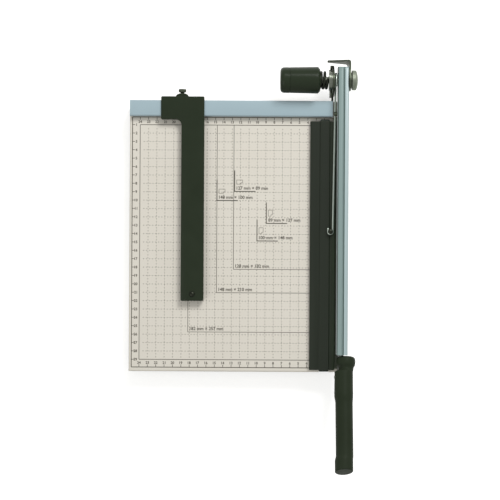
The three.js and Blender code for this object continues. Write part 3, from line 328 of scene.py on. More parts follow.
def rounded(corners, steps=6):
    """A profile whose (radius, place, round) corners are eased by quarter-like arcs.
    Each arc is a quadratic curve from one tangent point to the other, with the corner as its handle."""
    points = []
    for index, (u, v, round_by) in enumerate(corners):
        corner = np.array([u, v], float)
        if round_by == 0 or index in (0, len(corners) - 1):
            points.append(corner[None])
            continue
        before = np.array(corners[index - 1][:2], float) - corner
        after = np.array(corners[index + 1][:2], float) - corner
        start = corner + before * min(round_by / np.linalg.norm(before), 0.5)
        end = corner + after * min(round_by / np.linalg.norm(after), 0.5)
        t = np.linspace(0, 1, steps + 1)[:, None]
        points.append((1 - t) ** 2 * start + 2 * t * (1 - t) * corner + t**2 * end)
    return np.concatenate(points)


# %% [markdown]
# A wire is a circle carried along a path. If each circle picked its own start, the mesh would twist,
# so each one takes the start of the one before and turns it only as far as the path turned.

# %% Wires
def wire(name, path, radius, sides=16, end_round=3):
    """A round wire along a path of points in millimetres. Each ring lies across the path; its first
    direction is carried along and made square to the path again at every point. The ends are domes."""
    path = np.asarray(path, float)
    tangents = np.gradient(path, axis=0)
    tangents /= np.linalg.norm(tangents, axis=1, keepdims=True)
    normal = np.cross(tangents[0], tangents[0][[1, 2, 0]])
    normals = []
    for tangent in tangents:
        normal = normal - tangent * (normal @ tangent)
        normal = normal / np.linalg.norm(normal)
        normals.append(normal)
    normals = np.array(normals)
    binormals = np.cross(tangents, normals)
    angles = np.linspace(0, 2 * np.pi, sides, endpoint=False)
    circle = (
        np.cos(angles)[None, :, None] * normals[:, None, :]
        + np.sin(angles)[None, :, None] * binormals[:, None, :]
    )
    turns = np.linspace(0, np.pi / 2, end_round + 1)[:-1]
    back, out = radius * np.cos(turns[1:, None, None]), radius * np.sin(turns[1:, None, None])
    start = path[0] - tangents[0] * back + circle[0] * out
    end = path[-1] + tangents[-1] * out + circle[-1] * back
    rings = np.concatenate([start, path[:, None, :] + circle * radius, end])
    return skin(name, rings)


# %% [markdown]
# Parts that are folded, cast or milled keep the model's own shape. A real edge is never perfectly
# sharp, though, and it is the thin glint along an edge that shows the eye where metal ends. So those
# parts are copied, their loose triangles are joined into faces, and a narrow bevel eases each edge.

# %% A copy of a model part with eased edges
SAME_FACE = math.radians(1.0)
SHARP_EDGE = 35.0


def eased(node, width, material):
    """A merged copy of a model part with a bevel of the given width in millimetres. Triangles that
    lie within a degree of each other become one face first, so only true edges are eased."""
    mesh = bpy.data.meshes.new(node)
    shell = bmesh.new()
    shell.from_mesh(frame["nodes"][node].data)
    bmesh.ops.remove_doubles(shell, verts=shell.verts, dist=MERGE)
    bmesh.ops.dissolve_limit(shell, angle_limit=SAME_FACE, verts=shell.verts, edges=shell.edges)
    shell.to_mesh(mesh)
    shell.free()
    piece = stands_for(node, mesh, material, SHARP_EDGE)
    bevel = piece.modifiers.new("eased_edges", "BEVEL")
    bevel.width = width * MM
    bevel.segments = 2
    bevel.limit_method = "ANGLE"
    bevel.angle_limit = math.radians(SHARP_EDGE)
    bevel.use_clamp_overlap = True
    bevel.harden_normals = True
    return piece


# %% [markdown]
# ## Materials
# Every finish below starts and ends in the same way: an empty material whose patterns read Object
# coordinates, and one shader that takes all the patterns and the values that are the same all over.
# Pattern sizes are written in millimetres and turned into the scale that a texture node wants.

# %% The start and the end of a material
def per_mm(size):
    """The scale of a texture on Object coordinates, in metres, whose features are size mm wide."""
    return 1.0 / (size * MM)


def new_material(name):
    """An empty material, its node tree, and the Object coordinates that its patterns read."""
    material = bpy.data.materials.new(name)
    material.use_nodes = True
    tree = material.node_tree
    tree.nodes.clear()
    return material, tree, add_node(tree, "ShaderNodeTexCoord").outputs["Object"]


def with_shader(material, inputs):
    """The material with its shader, which takes the given values and links, and its output."""
    tree = material.node_tree
    shader = add_node(tree, "ShaderNodeBsdfPrincipled", inputs)
    add_node(tree, "ShaderNodeOutputMaterial", {"Surface": shader.outputs[0]})
    return material


# %% [markdown]
# The border between two tones of painted light and shade runs along the part but is never quite
# straight. So the place across the part is moved by a noise before it picks its tone.

# %% Painted light and shade across a part
WAVER = 0.12
WAVER_SIZE = 7.0


def across(tree, place, left, right, stops):
    """A colour of painted light and shade that changes along X between two places in metres. Each stop
    is a share of the way and a hex code, and the way wavers by a fraction of a millimetre."""
    along = add_node(tree, "ShaderNodeSeparateXYZ", {"Vector": place})
    lumps = add_node(tree, "ShaderNodeTexNoise", {
        "Vector": place,
        "Scale": per_mm(WAVER_SIZE),
        "Detail": 2.0,
    })
    waver = add_node(tree, "ShaderNodeMapRange", {
        "Value": lumps.outputs["Fac"],
        "To Min": -WAVER * MM,
        "To Max": WAVER * MM,
    })
    moved = add_node(tree, "ShaderNodeMath", {
        0: along.outputs["X"],
        1: waver.outputs["Result"],
    }, operation="ADD")
    share = add_node(tree, "ShaderNodeMapRange", {
        "Value": moved.outputs[0],
        "From Min": left,
        "From Max": right,
    })
    ramp = add_node(tree, "ShaderNodeValToRGB", {"Fac": share.outputs["Result"]})
    stations = ramp.color_ramp.elements
    while len(stations) < len(stops):
        stations.new(1.0)
    for station, (share_of_way, code) in zip(stations, stops):
        station.position = share_of_way
        station.color = hex_colour(code)
    return ramp.outputs["Color"]


# %% [markdown]
# ## Enamel
# The tray, the fence and the arm are steel or cast metal under stoved enamel. Enamel is a thick,
# hard paint: its colour is even, its gloss is soft, and it flows a little before it sets, which
# leaves shallow waves a millimetre or two apart, called orange peel. Waves and a faint change of
# tone come from two noises whose sizes are written in millimetres. Handling dulls the paint here
# and there, so a third, slow noise varies the roughness.

# %% Enamel from three noises
PAINT_PATCH = 60.0
HANDLED_PATCH = 35.0
PAINT_IOR = 1.5


def enamel(name, dark, light, rough, peel_size, peel_depth, specular=0.5, painted_bands=None):
    """Stoved enamel: two near tones, orange peel, and a gloss that handling has varied. Painted bands,
    if given, are painted light and shade across the part from left to right, which the two near tones
    then shade."""
    material, tree, place = new_material(name)
    patches = add_node(tree, "ShaderNodeTexNoise", {
        "Vector": place,
        "Scale": per_mm(PAINT_PATCH),
        "Detail": 4.0,
    })
    tone = add_node(tree, "ShaderNodeMix", {
        "Factor": patches.outputs["Fac"],
        6: hex_colour(dark),
        7: hex_colour(light),
    }, data_type="RGBA")
    # painted light and shade across the part, multiplied into the enamel's tone
    if painted_bands:
        tone = add_node(tree, "ShaderNodeMix", {
            "Factor": 1.0,
            6: across(tree, place, *painted_bands),
            7: tone.outputs[2],
        }, data_type="RGBA", blend_type="MULTIPLY")
    handled = add_node(tree, "ShaderNodeTexNoise", {
        "Vector": place,
        "Scale": per_mm(HANDLED_PATCH),
        "Detail": 3.0,
    })
    gloss = add_node(tree, "ShaderNodeMapRange", {
        "Value": handled.outputs["Fac"],
        "To Min": rough - 0.06,
        "To Max": rough + 0.08,
    })
    peel = add_node(tree, "ShaderNodeTexNoise", {
        "Vector": place,
        "Scale": per_mm(peel_size),
        "Detail": 2.0,
    })
    waves = add_node(tree, "ShaderNodeBump", {
        "Height": peel.outputs["Fac"],
        "Distance": peel_depth * MM,
        "Strength": 0.5,
    })
    return with_shader(material, {
        "Base Color": tone.outputs[2],
        "Roughness": gloss.outputs["Result"],
        "IOR": PAINT_IOR,
        "Specular IOR Level": specular,
        "Normal": waves.outputs["Normal"],
    })


cream_enamel = enamel("cream_stoved_enamel", "#cfcabe", "#d6d1c6", 0.42, 1.6, 0.02)
fence_enamel = enamel("blue_grey_stoved_enamel", "#95a9b0", "#9cb0b7", 0.38, 1.6, 0.02)
black_enamel = enamel(
    "matt_black_stoved_enamel", "#191f15", "#1f271b", 0.5, 0.9, 0.03, specular=0.25,
)
print("enamels:", cream_enamel.name, fence_enamel.name, black_enamel.name)

# %% [markdown]
# Some enamel is not the same all the way across. The clamp bar's side beside the arm lies in the
# arm's shadow and is painted paler, painted light against that shadow, so its tone follows the place
# across the bar, from its left side to its right one. The two near tones still shade it.

# %% The bar's enamel, painted lighter on the side in the arm's shadow
bar_left, bar_right = (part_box("pressure_bar")[end].x for end in (0, 1))
# painted light on the bar's side beside the arm, against the arm's shadow
BAR_PAINTED_LIGHT = [(0.0, "#929292"), (0.7, "#929292"), (0.86, "#bcbcbc"), (1.0, "#ffffff")]
bar_enamel_painted_light = enamel(
    "black_enamel_painted_light", "#2e3828", "#394532", 0.5, 0.9, 0.03,
    specular=0.25, painted_bands=(bar_left, bar_right, BAR_PAINTED_LIGHT),
)
print("bar enamel over", round((bar_right - bar_left) / MM, 1), "mm")

# %% [markdown]
# The arm's enamel carries painted light and shade in bands across it: a painted highlight on its left
# edge, painted shade on the strip beside that and along the groove, the half beside the board painted
# darker and the outer half painted paler, as light from the right falls on them.

# %% The arm's enamel, with painted light and shade in bands
arm_left, arm_right = (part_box("arm_bar")[end].x for end in (0, 1))
# painted light and shade across the arm, from its left face to its right edge
ARM_PAINTED_LIGHT_AND_SHADE = [
    (0.0, "#d2dfdd"),
    (0.01, "#d2dfdd"),
    (0.014, "#2f403c"),
    (0.085, "#2f403c"),
    (0.1, "#8ea3a0"),
    (0.15, "#819592"),
    (0.565, "#819592"),
    (0.58, "#3d524e"),
    (0.64, "#3d524e"),
    (0.665, "#b0c3c3"),
    (0.74, "#a9bbbc"),
    (1.0, "#9daeaf"),
]
arm_enamel = enamel(
    "grey_enamel_with_painted_light_and_shade", "#f4f4f4", "#ffffff", 0.32, 2.2, 0.04,
    painted_bands=(arm_left, arm_right, ARM_PAINTED_LIGHT_AND_SHADE),
)
print("arm enamel over", round((arm_right - arm_left) / MM, 1), "mm in", len(ARM_PAINTED_LIGHT_AND_SHADE), "tones")

# %% [markdown]
# ## Moulded plastic and rubber
# Handle, knob and feet come out of a steel mould. The mould for the handle and the knob is etched
# with a fine grain, under half a millimetre across, so the plastic shows no sharp reflection but a
# broad soft sheen. Rubber is duller still and a little dusty.

# %% Grained plastic, plain rubber and felt
PLASTIC_PATCH = 25.0
SHEEN_PATCH = 12.0
PLASTIC_IOR = 1.5


def moulded(name, dark, light, rough, grain, depth, specular):
    """Moulded plastic or rubber: cells of an etched grain, and a slow change of tone."""
    material, tree, place = new_material(name)
    patches = add_node(tree, "ShaderNodeTexNoise", {
        "Vector": place,
        "Scale": per_mm(PLASTIC_PATCH),
        "Detail": 3.0,
    })
    tone = add_node(tree, "ShaderNodeMix", {
        "Factor": patches.outputs["Fac"],
        6: hex_colour(dark),
        7: hex_colour(light),
    }, data_type="RGBA")
    touched = add_node(tree, "ShaderNodeTexNoise", {
        "Vector": place,
        "Scale": per_mm(SHEEN_PATCH),
        "Detail": 2.0,
    })
    sheen = add_node(tree, "ShaderNodeMapRange", {
        "Value": touched.outputs["Fac"],
        "To Min": rough - 0.05,
        "To Max": rough + 0.06,
    })
    cells = add_node(tree, "ShaderNodeTexVoronoi", {"Vector": place, "Scale": per_mm(grain)})
    etched = add_node(tree, "ShaderNodeBump", {
        "Height": cells.outputs["Distance"],
        "Distance": depth * MM,
        "Strength": 0.4,
    })
    return with_shader(material, {
        "Base Color": tone.outputs[2],
        "Roughness": sheen.outputs["Result"],
        "IOR": PLASTIC_IOR,
        "Specular IOR Level": specular,
        "Normal": etched.outputs["Normal"],
    })


black_plastic = moulded("black_moulded_abs", "#222a1d", "#2a3225", 0.24, 0.45, 0.02, 0.1)
grip_plastic = moulded("black_grained_grip", "#242b1f", "#2c3327", 0.42, 0.45, 0.02, 0.04)
black_rubber = moulded("black_rubber", "#1b1c1a", "#262724", 0.8, 0.8, 0.02, 0.3)
grey_felt = moulded("grey_felt", "#3f423d", "#54574f", 0.95, 0.3, 0.15, 0.2)
print("soft finishes:", black_plastic.name, grip_plastic.name, black_rubber.name, grey_felt.name)

# %% [markdown]
# ## Steel
# Three kinds of steel show. The blades are ground along their length, which leaves fine parallel
# lines and a long bright reflection. The screws, washers and brackets are zinc plated and then
# passivated, a dull grey with an olive cast and faint spangles. The spring is blackened in oil.
# Grinding lines and pits are hundredths of a millimetre deep, so they bend only the highlight.

# %% Ground, plated and blackened steel
GRINDING_LINE = 0.35


def ground_steel(name, dark, light, rough, stretch):
    """Ground steel: a noise drawn out along the grinding direction, in colour, gloss and height."""
    material, tree, place = new_material(name)
    drawn = add_node(tree, "ShaderNodeMapping", {"Vector": place, "Scale": stretch})
    lines = add_node(tree, "ShaderNodeTexNoise", {
        "Vector": drawn.outputs["Vector"],
        "Scale": per_mm(GRINDING_LINE),
        "Detail": 3.0,
    })
    tone = add_node(tree, "ShaderNodeMix", {
        "Factor": lines.outputs["Fac"],
        6: hex_colour(dark),
        7: hex_colour(light),
    }, data_type="RGBA")
    gloss = add_node(tree, "ShaderNodeMapRange", {
        "Value": lines.outputs["Fac"],
        "To Min": rough - 0.08,
        "To Max": rough + 0.1,
    })
    scratches = add_node(tree, "ShaderNodeBump", {
        "Height": lines.outputs["Fac"],
        "Distance": 0.01 * MM,
        "Strength": 0.4,
    })
    return with_shader(material, {
        "Base Color": tone.outputs[2],
        "Roughness": gloss.outputs["Result"],
        "Metallic": 1.0,
        "Normal": scratches.outputs["Normal"],
    })


PLATE_PATCH = 9.0
PLATE_PITS = 0.8
SPANGLE_SHARE = 0.35


def plated_steel(name, dark, light, rough, spangle):
    """Zinc plate: flat-toned spangles over a slow change of tone. The blend is the spangle's own
    number times a share, plus the slow noise, and darker places are duller ones."""
    material, tree, place = new_material(name)
    flakes = add_node(tree, "ShaderNodeTexVoronoi", {"Vector": place, "Scale": per_mm(spangle)})
    own_number = add_node(tree, "ShaderNodeSeparateColor", {"Color": flakes.outputs["Color"]})
    patches = add_node(tree, "ShaderNodeTexNoise", {
        "Vector": place,
        "Scale": per_mm(PLATE_PATCH),
        "Detail": 3.0,
    })
    drift = add_node(tree, "ShaderNodeMapRange", {
        "Value": patches.outputs["Fac"],
        "To Min": 0.0,
        "To Max": 1 - SPANGLE_SHARE,
    })
    blend = add_node(tree, "ShaderNodeMath", {
        0: own_number.outputs[0],
        1: SPANGLE_SHARE,
        2: drift.outputs["Result"],
    }, operation="MULTIPLY_ADD")
    tone = add_node(tree, "ShaderNodeMix", {
        "Factor": blend.outputs[0],
        6: hex_colour(dark),
        7: hex_colour(light),
    }, data_type="RGBA")
    gloss = add_node(tree, "ShaderNodeMapRange", {
        "Value": blend.outputs[0],
        "To Min": rough + 0.08,
        "To Max": rough - 0.06,
    })
    pits = add_node(tree, "ShaderNodeTexNoise", {
        "Vector": place,
        "Scale": per_mm(PLATE_PITS),
        "Detail": 2.0,
    })
    pitted = add_node(tree, "ShaderNodeBump", {
        "Height": pits.outputs["Fac"],
        "Distance": 0.01 * MM,
        "Strength": 0.3,
    })
    return with_shader(material, {
        "Base Color": tone.outputs[2],
        "Roughness": gloss.outputs["Result"],
        "Metallic": 1.0,
        "Normal": pitted.outputs["Normal"],
    })


blade_steel = ground_steel("ground_blade_steel", "#a5a9a4", "#d2d5d0", 0.28, (1.0, 0.02, 1.0))
zinc_steel = plated_steel("passivated_zinc_plate", "#6c7265", "#8f9587", 0.56, 1.4)
bright_zinc = plated_steel("polished_zinc_plate", "#63685e", "#90958a", 0.24, 1.4)
dull_zinc = plated_steel("dull_zinc_plate", "#3d4338", "#565c4f", 0.42, 1.4)
bright_wire = plated_steel("drawn_and_plated_wire", "#949e94", "#b4bcb3", 0.4, 1.0)
spring_steel = plated_steel("oil_blackened_spring_steel", "#1d1f1a", "#34372f", 0.36, 2.0)

print("finishes:", len([m for m in bpy.data.materials if m.use_nodes]))

# %% [markdown]
# ## Parts that keep the model's own mesh
# Screws, rivets, pads and feet that are small or hidden have the right shape already and only need
# their finish. The blades keep their exact edges too: a bevel would blunt them.

# %% Finishes for the model's own parts
def dress(node, material):
    """Gives a model part its finish."""
    slots = frame["nodes"][node].data.materials
    slots.clear()
    slots.append(material)


SLOT_FINISH = {
    "board_enamel": cream_enamel,
    "fence_enamel": fence_enamel,
    "arm_enamel": arm_enamel,
    "black_enamel": black_enamel,
    "black_plastic": black_plastic,
    "rubber": black_rubber,
    "blade_steel": blade_steel,
    "zinc_steel": zinc_steel,
    "spring_steel": spring_steel,
    "felt": grey_felt,
}
for node, slot in node_slot.items():
    dress(node, SLOT_FINISH[slot])
print("dressed", len(node_slot), "parts")

# %% [markdown]
# ## Folded, cast and milled parts
# The tray, the fence, the arm, the clamp bar, the guide, the bracket and the stop plate get copies
# with eased edges. The width is what the process leaves: paint rounds a fold by a few tenths of a
# millimetre, and a stamped plate has less.

# %% Eased copies
EASED_WIDTH = {
    "base_plate": 0.25,
    "fence": 0.3,
    "arm_bar": 0.35,
    "pressure_bar": 0.3,
    "bar_guide_strip": 0.2,
    "guide": 0.3,
    "pivot_bracket": 0.25,
    "stop_plate": 0.2,
}
OWN_FINISH = {"pivot_bracket": dull_zinc, "stop_plate": dull_zinc, "pressure_bar": bar_enamel_painted_light}
edged = {
    node: eased(node, width, OWN_FINISH.get(node, SLOT_FINISH[node_slot[node]]))
    for node, width in EASED_WIDTH.items()
}
print("eased the edges of", len(edged), "parts")

# %% [markdown]
# The stop plate's tab was bent by hand round the arm's rear end, and it leans and twists: at its
# corner its lower edge is nearer to the pivot than its upper one, and behind the lug, which it meets
# when the arm is up, it stands straight. So every point behind the arm moves inwards by a share of
# its depth below the tab's upper edge. The share grows from the lug to the corner.

# %% The stop plate's leaning tab
TAB_LEAN = 0.14
TAB_HALF_HEIGHT = 9.0
TAB_EASE = 1.2

leaning = edged["stop_plate"].data
points = np.zeros(len(leaning.vertices) * 3)
leaning.vertices.foreach_get("co", points)
points = (points.reshape(-1, 3) - ORIGIN) / MM
tab_top = sum(span("bolt_washer", "z")) / 2 + TAB_HALF_HEIGHT
arm_end = span("arm_bar", "y")[1]
behind = np.clip((points[:, 1] - arm_end) / TAB_EASE, 0, 1)
lug_right, corner = span("pivot_bracket", "x")[1], span("stop_plate", "x")[1]
to_corner = np.clip((points[:, 0] - lug_right) / (corner - lug_right), 0, 1)
inwards = TAB_LEAN * np.clip(tab_top - points[:, 2], 0, None) * behind * to_corner
points[:, :2] -= inwards[:, None]
leaning.vertices.foreach_set("co", metres(points).ravel())
leaning.update()
print("tab leans", round(float(inwards.max()), 2), "mm")

# %% [markdown]
# ## The printed board
# The print is screen ink a few hundredths of a millimetre thick: an outer border, an inner frame a
# centimetre inside it, centimetre ticks and numbers, a dotted centimetre grid, and the outlines of
# usual paper sizes with their sizes in millimetres. It could be a pattern in the enamel, but thin
# solid strokes stay sharp from any distance, so each line is a flat bar and all bars are one mesh.

# %% Sizes of the print, in millimetres
INK_RAISE = 0.03
INK_SINK = 0.01
BORDER_LINE = 1.0
FRAME_LINE = 0.8
TICK_LINE = 0.7
TICK = 3.2
SIZE_LINE = 0.65
CORNER_LINE = 1.1
GRID_LINE = 0.75
GRID_DOT = 1.3
GRID_PERIOD = 3.58
GRID_START = 4.2
CENTIMETRE = 10.0
PRINT_WIDTH = 250.0
PRINT_LENGTH = 300.0
BORDER_INSET = 0.8
STRIP = 10.0
EDGE_BAND = (-9.5, -3.6)
print("print:", PRINT_WIDTH, "by", PRINT_LENGTH, "mm, ink", INK_RAISE, "mm high")

# %% [markdown]
# A bar needs eight corners and six faces. All bars of a layer are worked out at once: their corners
# as one array, and their faces as the faces of one box, with every index moved on by eight a bar.

# %% Bars of ink
BOX_FACES = np.array([
    (0, 3, 2, 1), (4, 5, 6, 7), (0, 1, 5, 4), (1, 2, 6, 5), (2, 3, 7, 6), (3, 0, 4, 7),
])


def ink_bars(boxes):
    """Flat bars from rows of x0, x1, y0, y1, all as one mesh: eight corners and six faces each."""
    x0, x1, y0, y1 = np.asarray(boxes, float).T
    low, high = np.full_like(x0, board_top - INK_SINK), np.full_like(x0, board_top + INK_RAISE)
    corners = [(x0, y0, low), (x1, y0, low), (x1, y1, low), (x0, y1, low)]
    corners += [(x, y, high) for x, y, _ in corners]
    points = np.stack([np.stack(corner, axis=-1) for corner in corners], axis=1)
    faces = (np.arange(len(x0))[:, None, None] * 8 + BOX_FACES).reshape(-1, 4)
    return points.reshape(-1, 3), faces


def level_line(y, x0, x1, width):
    """A bar along X."""
    return [x0, x1, y - width / 2, y + width / 2]


def upright_line(x, y0, y1, width):
    """A bar along Y."""
    return [x - width / 2, x + width / 2, y0, y1]


# %% [markdown]
# The outer border is drawn a little inside the print, the inner frame a centimetre inside it. Both
# stay open on the right, where their lines run up to the black band. Ticks stand on the border.

# %% Border, frame and ticks
print_left, print_front, print_rear = -PRINT_WIDTH, -PRINT_LENGTH, 0.0
inner_left, inner_front, inner_rear = print_left + STRIP, print_front + STRIP, print_rear - STRIP

border_left = print_left + BORDER_INSET
border_front = print_front + BORDER_INSET
border_rear = print_rear - BORDER_INSET
line_end = EDGE_BAND[0]

solid_lines = [
    upright_line(border_left, border_front, border_rear, BORDER_LINE),
    level_line(border_front, border_left, line_end, BORDER_LINE),
    level_line(border_rear, border_left, line_end, BORDER_LINE),
    upright_line(inner_left, inner_front, inner_rear, FRAME_LINE),
    level_line(inner_front, inner_left, line_end, FRAME_LINE),
    level_line(inner_rear, inner_left, line_end, FRAME_LINE),
]
for mark in np.arange(print_front + CENTIMETRE, print_rear, CENTIMETRE):
    solid_lines.append(level_line(mark, border_left, border_left + TICK, TICK_LINE))
for mark in np.arange(print_left + CENTIMETRE, line_end, CENTIMETRE):
    solid_lines.append(upright_line(mark, border_front, border_front + TICK, TICK_LINE))
    solid_lines.append(upright_line(mark, border_rear - TICK, border_rear, TICK_LINE))
print("border, frame and ticks:", len(solid_lines), "lines")

# %% [markdown]
# The paper sizes are measured from the cut and from the fence. The larger three are drawn as whole
# lines that run on to the clamp, the smaller ones as bold corners with legs 25 mm long. Each small size
# also has the outline of a little sheet, upright or level, with one corner cut. The grid is rows of
# dots a little over 3.5 mm apart. A dark band lies along the cut, between the clamp bar and the arm.

# %% Paper sizes and the dotted grid
WHOLE_SIZES = [(148.0, 210.0), (128.0, 182.0), (182.0, 257.0)]
CORNER_SIZES = [(127.0, 89.0), (148.0, 100.0), (89.0, 127.0), (100.0, 148.0)]
CORNER_LEG = 25.0

SHEET_PLACE = (2.4, 8.6)
SHEET_SHORT = 5.0
SHEET_LONG = 7.2
SHEET_LINE = 0.6
SHEET_CUT = 1.8

for width, length in WHOLE_SIZES:
    solid_lines.append(upright_line(-width, -length, inner_rear, SIZE_LINE))
    solid_lines.append(level_line(-length, -width, line_end, SIZE_LINE))
for width, length in CORNER_SIZES:
    leg_foot = -length - CORNER_LINE / 2
    solid_lines.append(upright_line(-width, leg_foot, -length + CORNER_LEG, CORNER_LINE))
    solid_lines.append(level_line(-length, -width, -width + CORNER_LEG, CORNER_LINE))

sheets = []
for width, length in CORNER_SIZES:
    left, front = SHEET_PLACE[0] - width, SHEET_PLACE[1] - length
    wide, high = (SHEET_LONG, SHEET_SHORT) if width > length else (SHEET_SHORT, SHEET_LONG)
    sheets += [
        level_line(front, left, left + wide - SHEET_CUT, SHEET_LINE),
        level_line(front + SHEET_CUT, left + wide - SHEET_CUT, left + wide, SHEET_LINE),
        level_line(front + high, left, left + wide, SHEET_LINE),
        upright_line(left, front, front + high, SHEET_LINE),
        upright_line(left + wide - SHEET_CUT, front, front + SHEET_CUT, SHEET_LINE),
        upright_line(left + wide, front + SHEET_CUT, front + high, SHEET_LINE),
    ]

dots = []
for level in np.arange(inner_front + CENTIMETRE, inner_rear, CENTIMETRE):
    starts = np.arange(inner_left + GRID_START, line_end - GRID_DOT, GRID_PERIOD)
    dots += [level_line(level, x, x + GRID_DOT, GRID_LINE) for x in starts]
for upright in np.arange(inner_left + CENTIMETRE, line_end, CENTIMETRE):
    starts = np.arange(inner_rear - GRID_START, inner_front + GRID_DOT, -GRID_PERIOD)
    dots += [upright_line(upright, y - GRID_DOT, y, GRID_LINE) for y in starts]
print(len(solid_lines), "lines and", len(dots), "dots")


# %% [markdown]
# Screen ink dries nearly flat in tone and a little duller than the enamel under it. Lines and
# numbers are printed in a grey brown, the grid in a paler one, and the band along the cut in black.

# %% Screen ink
INK_PATCH = 4.0
INK_GRAIN = 1.0


def screen_ink(name, dark, light, rough):
    """Screen ink: two near tones, and a roughness that varies by a tenth."""
    material, tree, place = new_material(name)
    patches = add_node(tree, "ShaderNodeTexNoise", {
        "Vector": place,
        "Scale": per_mm(INK_PATCH),
        "Detail": 3.0,
    })
    tone = add_node(tree, "ShaderNodeMix", {
        "Factor": patches.outputs["Fac"],
        6: hex_colour(dark),
        7: hex_colour(light),
    }, data_type="RGBA")
    grain = add_node(tree, "ShaderNodeTexNoise", {
        "Vector": place,
        "Scale": per_mm(INK_GRAIN),
        "Detail": 2.0,
    })
    dullness = add_node(tree, "ShaderNodeMapRange", {
        "Value": grain.outputs["Fac"],
        "To Min": rough,
        "To Max": rough + 0.1,
    })
    return with_shader(material, {
        "Base Color": tone.outputs[2],
        "Roughness": dullness.outputs["Result"],
    })


line_ink = screen_ink("grey_brown_screen_ink", "#4b473d", "#565247", 0.5)
grid_ink = screen_ink("pale_screen_ink", "#757064", "#817c70", 0.5)
band_ink = screen_ink("black_screen_ink", "#5e6657", "#687060", 0.5)


def printed(name, boxes, material):
    """One printed layer: a mesh of bars on the board."""
    points, faces = ink_bars(boxes)
    mesh = bpy.data.meshes.new(name)
    mesh.from_pydata(metres(points).tolist(), [], faces.tolist())
    return finished(name, mesh, "base_plate", material)


printed("printed_lines", solid_lines, line_ink)
printed("printed_sheets", sheets, grid_ink)
printed("printed_grid", dots, grid_ink)
printed("printed_edge_band", [[*EDGE_BAND, print_front, print_rear]], band_ink)
print("printed in", line_ink.name, grid_ink.name, band_ink.name)

# %% [markdown]
# Numbers are set with Blender's own plain typeface. Each is made a mesh first and then moved, so the
# finished piece lies at the origin unturned like every other part.

# %% Numbers
NUMBER_HEIGHT = 3.0
LABEL_HEIGHT = 3.7
CAPITAL_SHARE = 0.7
BOLDER = 0.15
SAME_INK_POINT = 1e-7


def text_mesh(text, height):
    """The strokes of a text as vertices and faces in millimetres, its middle at the origin."""
    curve = bpy.data.curves.new("number", "FONT")
    curve.body = text
    curve.size = height / CAPITAL_SHARE
    curve.extrude = (INK_RAISE + INK_SINK) / 2
    curve.offset = BOLDER
    curve.resolution_u = 3
    holder = bpy.data.objects.new("number", curve)
    mesh = bpy.data.meshes.new_from_object(holder)
    vertices = np.zeros(len(mesh.vertices) * 3)
    mesh.vertices.foreach_get("co", vertices)
    vertices = vertices.reshape(-1, 3)
    faces = [list(face.vertices) for face in mesh.polygons]
    bpy.data.objects.remove(holder)
    bpy.data.curves.remove(curve)
    bpy.data.meshes.remove(mesh)
    centre = (vertices.min(axis=0) + vertices.max(axis=0)) / 2
    return vertices - centre, faces


def number_layer(name, entries, material):
    """Many texts as one mesh. Each entry is a text, a height, and its middle or its left end."""
    all_points, all_faces, count = [], [], 0
    for text, height, x, y, from_left in entries:
        vertices, faces = text_mesh(text, height)
        offset = -vertices[:, 0].min() if from_left else 0.0
        middle = board_top + (INK_RAISE - INK_SINK) / 2
        all_points.append(vertices + [x + offset, y, middle])
        all_faces += [[index + count for index in face] for face in faces]
        count += len(vertices)
    mesh = bpy.data.meshes.new(name)
    mesh.from_pydata(metres(np.concatenate(all_points)).tolist(), [], all_faces)
    shell = bmesh.new()
    shell.from_mesh(mesh)
    bmesh.ops.remove_doubles(shell, verts=shell.verts, dist=SAME_INK_POINT)
    bmesh.ops.recalc_face_normals(shell, faces=shell.faces)
    shell.to_mesh(mesh)
    shell.free()
    return finished(name, mesh, "base_plate", material)


# %% [markdown]
# The left ruler counts away from the fence. The front and rear ones count away from the cut and
# start at 4, because the clamp covers the smaller numbers. Each paper size carries its measures.

# %% Rulers and labels
LENGTH_MARKS = range(1, 30)
WIDTH_MARKS = range(4, 25)
LEFT_RULER = print_left + 5.6
REAR_RULER = inner_rear + 3.6
FRONT_RULER = inner_front - 3.9
LABEL_PLACE = (2.4, 4.0)

entries = []
for mark in LENGTH_MARKS:
    entries.append((str(mark), NUMBER_HEIGHT, LEFT_RULER, -CENTIMETRE * mark, False))
for mark in WIDTH_MARKS:
    for middle in (REAR_RULER, FRONT_RULER):
        entries.append((str(mark), NUMBER_HEIGHT, -CENTIMETRE * mark, middle, False))
for width, length in WHOLE_SIZES + CORNER_SIZES:
    label = f"{width:.0f} mm × {length:.0f} mm"
    entries.append((label, LABEL_HEIGHT, LABEL_PLACE[0] - width, LABEL_PLACE[1] - length, True))
numbers = number_layer("printed_numbers", entries, line_ink)
print("numbers:", len(entries), "texts,", len(numbers.data.polygons), "faces")

# %% [markdown]
# ## The pivot
# The arm turns on a bolt that runs through a lug behind the board. On the bolt's far end sit a
# flanged bush, a washer, a spring and the black knob that presses the spring and so sets how hard
# the blade leans on its partner. The spring is a wire on a helix: the angle grows evenly, and the
# place along the axis grows slowly in the closed turns at both ends and faster between them.

# %% The spring
CLEARANCE = 0.3
PIVOT = np.array([0.0, sum(span("bolt_washer", "y")) / 2, sum(span("bolt_washer", "z")) / 2])
SPRING_WIRE = 1.6
SPRING_RADIUS = 9.4
CLOSED_PITCH = 3.75
OPEN_TURNS = 8
STEPS_PER_TURN = 48


